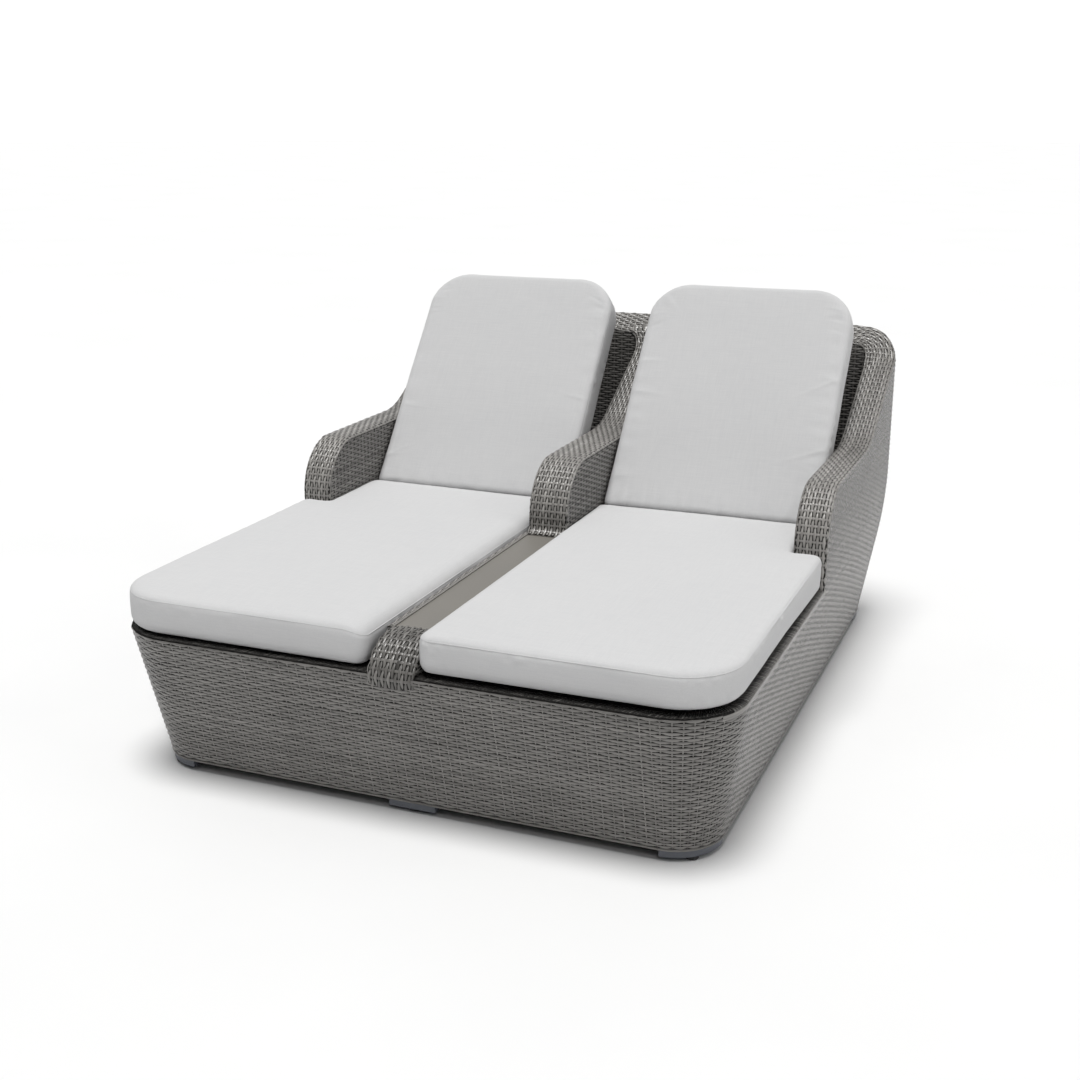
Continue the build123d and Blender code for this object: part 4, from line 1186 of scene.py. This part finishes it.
class Cushion:
    """One cushion in its own directions: x and y along its face, z out of it."""

    def __init__(self, name, origin, ex, ey, ez, pts, z0, z1, top_r, low_r, voxel, cap, pressure, body, fill, shrink):
        self.name, self.body, self.fill, self.cap, self.pressure = name, body, fill, cap, pressure
        self.o = np.array(origin, float)
        self.R = np.stack([np.array(q, float) for q in (ex, ey, ez)])
        self.pts, self.z0, self.z1 = pts, z0, z1
        P = np.array(pts)
        area = np.sum(P[:, 0] * np.roll(P[:, 1], -1) - np.roll(P[:, 0], -1) * P[:, 1])
        if area < 0:
            P = P[::-1]
        self.loop = P
        self.ob = foam_block(name, [tuple(p) for p in P], z0 + shrink, z1 - shrink, top_r, low_r)
        remeshed(self.ob, voxel)
        relax(self.ob.data, 3)

    def simulate(self):
        m = self.ob.modifiers.new("cover", "CLOTH")
        s = m.settings
        s.quality = 4
        s.mass = 0.35
        s.tension_stiffness = s.compression_stiffness = 18
        s.shear_stiffness = 8
        s.bending_stiffness = 0.6
        s.use_pressure = True
        s.uniform_pressure_force = self.pressure
        s.effector_weights.gravity = 0
        m.collision_settings.use_collision = False
        m.collision_settings.use_self_collision = False
        m.point_cache.frame_start, m.point_cache.frame_end = 1, 20

    def fit(self, low, high, r_top, r_low, amount, crown, bulge=0.002):
        """Brings the blown-up cover to the sewn size, and squares it against
        the foam inside."""
        c = coords(self.ob.data)
        for k in range(3):
            a, b = c[:, k].min(), c[:, k].max()
            c[:, k] = low[k] + (c[:, k] - a) * (high[k] - low[k]) / (b - a)
        P = self.loop
        a, b = P.min(axis=0), P.max(axis=0)
        P = np.array(low[:2]) + (P - a) * (np.array(high[:2]) - np.array(low[:2])) / (b - a)
        self.loop = P
        d, _, _, q, inside = edge_place(c, P, True)
        out = (q - c[:, :2]) / np.maximum(d, 1e-7)[:, None]
        out[~inside] *= -1
        d = np.where(inside, d, -d)
        mid, up = (low[2] + high[2]) / 2, (high[2] - low[2]) / 2
        upper = c[:, 2] > mid
        top = high[2] + crown * (1 - np.exp(-(np.maximum(d, 0) / 0.09) ** 2))
        qx = -d - bulge * np.cos(math.pi / 2 * np.clip((c[:, 2] - mid) / up, -1, 1))
        qz = np.where(upper, c[:, 2] - top, low[2] - c[:, 2])
        r = np.where(upper, r_top, r_low)
        x, z = qx + r, qz + r
        both = (x > 0) & (z > 0)
        L = np.maximum(np.hypot(x, z), 1e-9)
        s = np.where(both, L - r, np.maximum(x, z) - r)
        gx = np.where(both, x / L, (x > z) * 1.0)
        gz = np.where(both, z / L, (x <= z) * 1.0)
        c[:, :2] -= out * (amount * s * gx)[:, None]
        c[:, 2] -= np.where(upper, 1, -1) * amount * s * gz
        set_coords(self.ob.data, c)

    def settle(self):
        rest = coords(self.ob.data)
        me = evaluated(self.ob, self.name)
        now = coords(me)
        for m in list(self.ob.modifiers):
            self.ob.modifiers.remove(m)
        bpy.data.meshes.remove(me)
        d = now - rest
        L = np.linalg.norm(d, axis=1, keepdims=True)
        d = d * np.minimum(1, self.cap / np.maximum(L, 1e-9)) * (L < 1.0)
        set_coords(self.ob.data, rest + d)


def edge_place(c, loop, full=False):
    """For each point: distance from the outline, and how far round it is. In
    full also the nearest point of the outline and whether the point is inside."""
    A, B = loop, np.roll(loop, -1, axis=0)
    seg = B - A
    L = np.linalg.norm(seg, axis=1)
    cum = np.concatenate([[0], np.cumsum(L)])
    best = np.full(len(c), 1e9)
    place = np.zeros(len(c))
    near = np.zeros((len(c), 2))
    inside = np.zeros(len(c), bool)
    for i in range(len(A)):
        t = np.clip(((c[:, :2] - A[i]) @ seg[i]) / max(L[i] ** 2, 1e-12), 0, 1)
        q = A[i] + t[:, None] * seg[i]
        dist = np.linalg.norm(c[:, :2] - q, axis=1)
        m = dist < best
        best[m] = dist[m]
        place[m] = cum[i] + t[m] * L[i]
        near[m] = q[m]
        crossing = (A[i, 1] > c[:, 1]) != (B[i, 1] > c[:, 1])
        if abs(seg[i, 1]) > 1e-12:
            inside ^= crossing & (c[:, 0] < A[i, 0] + seg[i, 0] * (c[:, 1] - A[i, 1]) / seg[i, 1])
    if full:
        return best, place, cum[-1], near, inside
    return best, place, cum[-1]


def fold_noise(s, total, seed, freqs):
    """A smooth repeatable line noise round a closed outline."""
    rng = np.random.default_rng(seed)
    out = np.zeros_like(s)
    for f, a in freqs:
        n = max(int(total * f), 1)
        for k in range(max(n - 3, 1), n + 4):
            out += a * rng.normal() * np.sin(2 * math.pi * k * s / total + rng.random() * 6.28) / 2.6
    return out


cushions = []
for side, nm in ((1, "right"), (-1, "left")):
    g = 0.003
    xi, xo, xb = 0.0625, 0.766, 0.6850
    yf, ya, yb = -0.976, -0.0445, 0.236
    pts = [(side * xi, yf), (side * xo, yf), (side * xo, ya), (side * xb, ya), (side * xb, yb), (side * xi, yb)]
    loop = rounded(pts, [0.030, 0.145, 0.020, 0.0, 0.012, 0.012], 12)
    c = Cushion(f"{nm}_seat_pad", (0, 0, 0), (1, 0, 0), (0, 1, 0), (0, 0, 1), loop, 0.3796, 0.4760, 0.018, 0.010,
                0.0098, 0.0085, 4.0, "base", 0.85, 0.0018)
    c.kind, c.side, c.replaces = "seat", side, f"{nm}_seat_cushion"
    cushions.append(c)
for side, nm in ((1, "right"), (-1, "left")):
    hw, L = 0.3035, 0.750
    pts = [(-hw, 0.0), (hw, 0.0), (hw, L), (-hw, L)]
    loop = rounded(pts, [0.016, 0.016, 0.118, 0.118], 12)
    c = Cushion(f"{nm}_back_pad", FOOT + np.array([side * 0.373, 0, 0]), (1, 0, 0), S_DIR, N_DIR, loop, -0.0965, -0.0015,
                0.020, 0.014, 0.0082, 0.0105, 4.0, f"{nm}_backrest", 0.85, 0.0018)
    c.kind, c.side, c.replaces = "back", side, f"{nm}_back_cushion"
    cushions.append(c)

sc = bpy.context.scene
for c in cushions:
    c.simulate()
for f in range(1, 21):
    sc.frame_set(f)
for c in cushions:
    c.settle()
sc.frame_set(1)
for c in cushions:
    if c.kind == "seat":
        xs = (0.0580, 0.7680) if c.side > 0 else (-0.7700, -0.0715)
        c.fit((xs[0], -0.9765, 0.3788), (xs[1], 0.2365, 0.4790), 0.0145, 0.019, 0.80, 0.0030)
    else:
        c.fit((-0.3090, -0.0040, -0.0970), (0.3090, 0.7565, 0.0020), 0.0150, 0.014, 0.80, 0.0015)


SHOULDER = 0.0165


def finish_cushion(c, seed):
    ob = c.ob
    me = ob.data
    sub = ob.modifiers.new("sub", "SUBSURF")
    sub.levels = sub.render_levels = 1
    new = evaluated(ob, c.name)
    ob.modifiers.remove(sub)
    ob.data = new
    bpy.data.meshes.remove(me)
    me = new
    co = coords(me)
    d, s, total = edge_place(co, c.loop)
    nrm = np.empty(len(me.vertices) * 3, np.float32)
    me.vertex_normals.foreach_get("vector", nrm)
    nrm = nrm.reshape(-1, 3).astype(float)
    boxing = np.clip(1 - np.abs(nrm[:, 2]) * 1.6, 0, 1)
    if c.kind == "seat":
        seam_top, seam_low = 0.4665, 0.3930
    else:
        seam_top, seam_low = -0.0165, -0.0810
    disp = np.zeros(len(co))
    # the seams draw the cover in, and it puckers beside them
    drawn = np.clip(0.60 + 0.55 * fold_noise(s, total, seed + 60, ((1.2, 1.0), (2.6, 0.7))), 0.15, 1.0)
    for k, z in enumerate((seam_top, seam_low)):
        dz = co[:, 2] - z
        disp -= 0.0016 * drawn * np.exp(-(dz / 0.0045) ** 2) * boxing
        p = fold_noise(s, total, seed + k, ((28, 0.55), (17, 0.6), (9, 0.5)))
        patch = np.clip(fold_noise(s, total, seed + 40 + k, ((2.2, 1.1), (4.5, 0.9))), 0, 1.5)
        disp += 0.0011 * patch * p * np.exp(-((np.abs(dz) - 0.010) / 0.009) ** 2) * boxing
    # slow waves of the boxing strip
    disp += 0.0009 * fold_noise(s, total, seed + 7, ((3, 1.0), (6, 0.5))) * boxing
    # the face: shallow hollows and creases that run in from the edge
    rng = np.random.default_rng(seed + 20)
    face = np.clip((nrm[:, 2] - 0.6) / 0.4, 0, 1)
    waves = np.zeros(len(co))
    for _ in range(14):
        a = rng.random() * math.pi
        kx, ky = math.cos(a), math.sin(a)
        f = rng.uniform(6, 20)
        waves += rng.normal() * np.sin(f * (kx * co[:, 0] + ky * co[:, 1]) + rng.random() * 6.28) / f * 8
    disp += 0.0004 * waves * face
    ends = fold_noise(s, total, seed + 9, ((12, 0.8), (22, 0.5)))
    disp += 0.00035 * ends * np.exp(-(np.maximum(d - 0.02, 0) / 0.045) ** 2) * face
    if c.kind == "back":
        # gathers along the lower edge, where the cushion stands on the seat
        low = np.exp(-(np.maximum(co[:, 1] - 0.006, 0) / 0.045) ** 2)
        g = np.zeros(len(co))
        for f, a in ((95, 0.8), (142, 0.6), (61, 0.8), (210, 0.3)):
            g += a * rng.normal() * np.sin(f * co[:, 0] + rng.random() * 6.28)
        disp += 0.0009 * g * low * np.clip(nrm[:, 2] + 0.2, 0, 1)
        # a few short tucks from the side seams
        for _ in range(7):
            sx = -1 if rng.random() < 0.5 else 1
            s0 = rng.uniform(0.08, 0.62)
            ln = rng.uniform(0.03, 0.09)
            dx = np.abs(co[:, 0] - sx * 0.30)
            cx = (co[:, 1] - s0 - dx * rng.uniform(-0.6, 0.6)) / 0.007
            disp += rng.uniform(0.0008, 0.0018) * np.exp(-cx ** 2) * np.exp(-(dx / ln) ** 2) * face
        for _ in range(9):
            sx = -1 if rng.random() < 0.6 else 1
            s0 = rng.uniform(0.60, 0.72)
            slope = rng.uniform(-0.5, 0.1) * sx
            dx = np.abs(co[:, 0] - sx * rng.uniform(0.262, 0.300))
            cx = (co[:, 1] - s0 - slope * co[:, 0] - abs(slope) * 0.28) / rng.uniform(0.0045, 0.0065)
            disp += rng.choice([-1, 1]) * rng.uniform(0.0007, 0.0014) * np.exp(-cx ** 2) * np.exp(-(dx / 0.028) ** 2) * face
    co = co + nrm * disp[:, None]
    if c.kind == "seat":
        co[:, 2] = np.maximum(co[:, 2], c.z0 - 0.0002)
        # dents where the back cushion rests, deeper towards the middle
        inner = np.clip((0.45 - np.abs(co[:, 0])) / 0.35, 0, 1)
        co[:, 2] -= (0.002 + 0.005 * inner) * np.exp(-(np.maximum(0.215 - co[:, 1], 0) / 0.045) ** 2) * face
        # the filling lifts the lower edge of the cover off the ledge
        lift = 0.0020 if c.side < 0 else 0.0080 + 0.003 * np.clip((co[:, 0] - 0.1) / 0.5, 0, 1)
        fore = np.clip((-0.05 - co[:, 1]) / 0.4, 0, 1)
        if c.side < 0:
            t = np.clip((co[:, 0] + 0.1285) / 0.057, 0, 1)
            co[:, 2] -= SHOULDER * t * t * np.clip((co[:, 2] - 0.400) / 0.070, 0, 1)
        co[:, 2] += lift * fore * np.exp(-(d / 0.040) ** 2) * np.clip((0.450 - co[:, 2]) / 0.060, 0, 1)
    else:
        co[:, 2] = np.maximum(co[:, 2], c.z0 - 0.0003)
        # a little wider where it carries its own weight
        co[:, 0] *= 1 + 0.013 * np.clip(1 - co[:, 1] / 0.70, 0, 1)
    set_coords(me, co)
    # seam cords, laid on the finished cover
    bvh = BVHTree.FromPolygons([Vector(p) for p in co], [tuple(p.vertices) for p in me.polygons])
    extra_v, extra_f = [], []
    n0 = len(co)
    P = c.loop
    L = np.linalg.norm(np.roll(P, -1, axis=0) - P, axis=1)
    cum = np.concatenate([[0], np.cumsum(L)])
    closed = np.concatenate([P, P[:1]])
    step = 0.006
    ss = np.arange(0, cum[-1], step)
    px = np.interp(ss, cum, closed[:, 0])
    py = np.interp(ss, cum, closed[:, 1])
    tx = np.gradient(px)
    ty = np.gradient(py)
    tl = np.hypot(tx, ty)
    nx, ny = ty / tl, -tx / tl
    sunk = 0.0005 + 0.0008 * (1 - np.clip(0.60 + 0.55 * fold_noise(ss, cum[-1], seed + 60, ((1.2, 1.0), (2.6, 0.7))), 0.15, 1.0))
    for z, r in ((seam_top, 0.00165), (seam_low, 0.0015)):
        pts, nn = [], []
        for x, y, ox, oy, low in zip(px, py, nx, ny, sunk):
            drop = SHOULDER * 0.95 * min(max((x + 0.1265) / 0.055, 0), 1) ** 2 if c.kind == "seat" and c.side < 0 and z > 0.44 else 0
            hit = bvh.ray_cast(Vector((x + ox * 0.04, y + oy * 0.04, z - drop)), Vector((-ox, -oy, 0)))
            if hit[0] is None:
                continue
            pts.append(np.array(hit[0]) - low * np.array((ox, oy, 0)))
            nn.append((ox, oy, 0))
        pts = np.array(pts)
        for _ in range(2):
            pts = 0.5 * pts + 0.25 * np.roll(pts, 1, axis=0) + 0.25 * np.roll(pts, -1, axis=0)
        T = unit(np.roll(pts, -1, axis=0) - np.roll(pts, 1, axis=0))
        N = np.array(nn)
        N = unit(N - T * np.sum(N * T, axis=1, keepdims=True))
        B = np.cross(T, N)
        ang = np.linspace(0, 2 * math.pi, 6, endpoint=False)
        ring = pts[:, None] + r * (np.cos(ang)[None, :, None] * N[:, None] + np.sin(ang)[None, :, None] * B[:, None])
        m = len(pts)
        i = np.arange(m * 6).reshape(m, 6) + n0 + sum(len(v) for v in extra_v)
        j = np.roll(i, -1, axis=0)
        q = np.stack([i, j, np.roll(j, -1, axis=1), np.roll(i, -1, axis=1)], -1).reshape(-1, 4)
        extra_v.append(ring.reshape(-1, 3))
        extra_f.append(q)
    ev, ef = np.concatenate(extra_v), np.concatenate(extra_f)
    base_loops = np.empty(len(me.loops), np.int32)
    me.loops.foreach_get("vertex_index", base_loops)
    starts = np.empty(len(me.polygons), np.int32)
    me.polygons.foreach_get("loop_start", starts)
    allv = np.concatenate([co, ev])
    loops = np.concatenate([base_loops, ef.astype(np.int32).ravel()])
    starts = np.concatenate([starts, len(base_loops) + 4 * np.arange(len(ef), dtype=np.int32)])
    done = bpy.data.meshes.new(c.name)
    done.vertices.add(len(allv))
    world = allv @ c.R + c.o
    done.vertices.foreach_set("co", world.astype(np.float32).ravel())
    done.loops.add(len(loops))
    done.loops.foreach_set("vertex_index", loops)
    done.polygons.add(len(starts))
    done.polygons.foreach_set("loop_start", starts)
    done.polygons.foreach_set("use_smooth", np.ones(len(starts), bool))
    done.update(calc_edges=True)
    done.validate()
    at = done.attributes.new("cloth", "FLOAT_VECTOR", "POINT")
    shift = allv + np.array([seed * 1.7, seed * 0.9, 0])
    at.data.foreach_set("vector", shift.astype(np.float32).ravel())
    done.materials.append(FABRIC)
    ob.data = done
    bpy.data.meshes.remove(me)
    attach(ob, c.body)
    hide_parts(c.replaces)


for n, c in enumerate(cushions):
    finish_cushion(c, 100 + 13 * n)

# ------------------------------------------------------------ carried-over nodes
FRAME_PAINT = painted_metal("frame_paint", (0.20, 0.195, 0.19), (0.13, 0.127, 0.124), 0.5)
FOOT_PAINT = painted_metal("foot_paint", (0.162, 0.173, 0.199), (0.114, 0.122, 0.142), 0.42)
TRAY_PAINT = painted_metal("tray_paint", (0.222, 0.209, 0.188), (0.196, 0.185, 0.167), 0.48, speck=1400.0)
STEEL, GLIDE, SHADED_FLAT_WEAVE = steel_material(), glide_material(), shaded_flat_weave_material()
BY_SLOT = {"frame_paint": FRAME_PAINT, "foot_paint": FOOT_PAINT, "tray_paint": TRAY_PAINT, "prop_steel": STEEL,
           "glide_plastic": GLIDE, "woven_strand": SHADED_FLAT_WEAVE, "cushion_fabric": FABRIC}
slots = {s["node"]: s["material_slot"] for s in frame["record"]["subparts"]}
for o in bpy.context.scene.objects:
    nm = o.get("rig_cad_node")
    if nm and nm in slots:
        m = BY_SLOT[slots[nm]]
        if o.type == "MESH":
            if not o.material_slots:
                o.data.materials.append(None)
            for s in o.material_slots:
                s.link = "OBJECT"
                s.material = m

# ------------------------------------------------------------ stage and light
stage = bpy.data.meshes.new("stage")
sv, sf = [], []
prof = [(0.0, 0.0), (1.5, 0.0), (3.0, 0.0), (8.0, 0.0), (60.0, 0.0)]
seg = 64
for r, z in prof:
    for k in range(seg):
        a = 2 * math.pi * k / seg
        sv.append((r * math.cos(a), r * math.sin(a), z))
for i in range(len(prof) - 1):
    for k in range(seg):
        a, b = i * seg + k, i * seg + (k + 1) % seg
        sf.append((a, b, b + seg, a + seg) if i else (k, b + seg, a + seg))
stage.from_pydata(sv, [], sf)
for p in stage.polygons:
    p.use_smooth = True
sm, snt, sb = material("pale_floor", 0.85)
sco = node(snt, "ShaderNodeTexCoord").outputs["Object"]
sn = noise(snt, sco, 1.2, 4.0)
snt.links.new(ramp(snt, sn, [(0.3, (0.88, 0.88, 0.88)), (0.7, (0.90, 0.90, 0.90))]), sb.inputs["Base Color"])
sb.inputs["Specular IOR Level"].default_value = 0.1
stage.materials.append(sm)
floor = bpy.data.objects.new("stage", stage)
bpy.context.scene.collection.objects.link(floor)

# a bright studio behind and above, darker on the camera's side
scene = bpy.context.scene
world = bpy.data.worlds.new("studio")
scene.world = world
world.use_nodes = True
wt = world.node_tree
sky = node(wt, "ShaderNodeTexCoord").outputs["Generated"]
sky_xyz = wt.nodes.new("ShaderNodeSeparateXYZ")
wt.links.new(sky, sky_xyz.inputs[0])
rightward = maths(wt, "MAXIMUM", sky_xyz.outputs[0], 0.0)
above = maths(wt, "MAXIMUM", sky_xyz.outputs[2], 0.0)
low = maths(wt, "SUBTRACT", 1.0, above)
rear = maths(wt, "MINIMUM", maths(wt, "MULTIPLY", maths(wt, "MAXIMUM", sky_xyz.outputs[1], 0.0), 1.7), 1.0)
rear = maths(wt, "MULTIPLY", rear, maths(wt, "SUBTRACT", 1.0, maths(wt, "MULTIPLY", rightward, 0.9)))
rear = maths(wt, "MULTIPLY", maths(wt, "MULTIPLY", rear, maths(wt, "MULTIPLY", low, low)), 1.12)
near = maths(wt, "MULTIPLY", maths(wt, "MINIMUM", sky_xyz.outputs[1], 0.0), -0.08)
across = maths(wt, "MULTIPLY", sky_xyz.outputs[0], -0.04)
level = maths(wt, "ADD", maths(wt, "ADD", rear, maths(wt, "MULTIPLY", above, 0.22)), maths(wt, "ADD", across, 0.07))
level = maths(wt, "MAXIMUM", maths(wt, "SUBTRACT", level, near), 0.02)
background = wt.nodes["Background"]
background.inputs[0].default_value = (0.985, 0.992, 1.0, 1)
wt.links.new(level, background.inputs[1])


def soft_sun(name, azimuth, elevation, strength, width, colour=(1, 1, 1)):
    """A far, wide lamp. The azimuth is counted from the front towards +X."""
    d = bpy.data.lights.new(name, "SUN")
    d.energy = strength
    d.angle = math.radians(width)
    d.color = colour
    o = bpy.data.objects.new(name, d)
    a, e = math.radians(azimuth), math.radians(elevation)
    at = Vector((math.sin(a) * math.cos(e), -math.cos(a) * math.cos(e), math.sin(e)))
    o.location = at * 6
    o.rotation_euler = at.to_track_quat("Z", "Y").to_euler()
    scene.collection.objects.link(o)
    return o


soft_sun("top_light", 5, 82.5, 2.60, 26, (1.0, 0.998, 0.992))
soft_sun("right_light", 95, 28, 0.24, 34, (1.0, 0.985, 0.962))
soft_sun("front_light", 33, 42, 0.18, 5, (1.0, 1.0, 1.0))

cam_data = bpy.data.cameras.new("camera")
cam_data.lens, cam_data.sensor_width = 48.87, 36.0
cam = bpy.data.objects.new("camera", cam_data)
cam.location = (1.44073, -3.67137, 1.60096)
cam.rotation_euler = (math.pi / 2 - 0.2915, 0, 0.3832)
scene.collection.objects.link(cam)
scene.camera = cam
scene.view_settings.view_transform = "Standard"
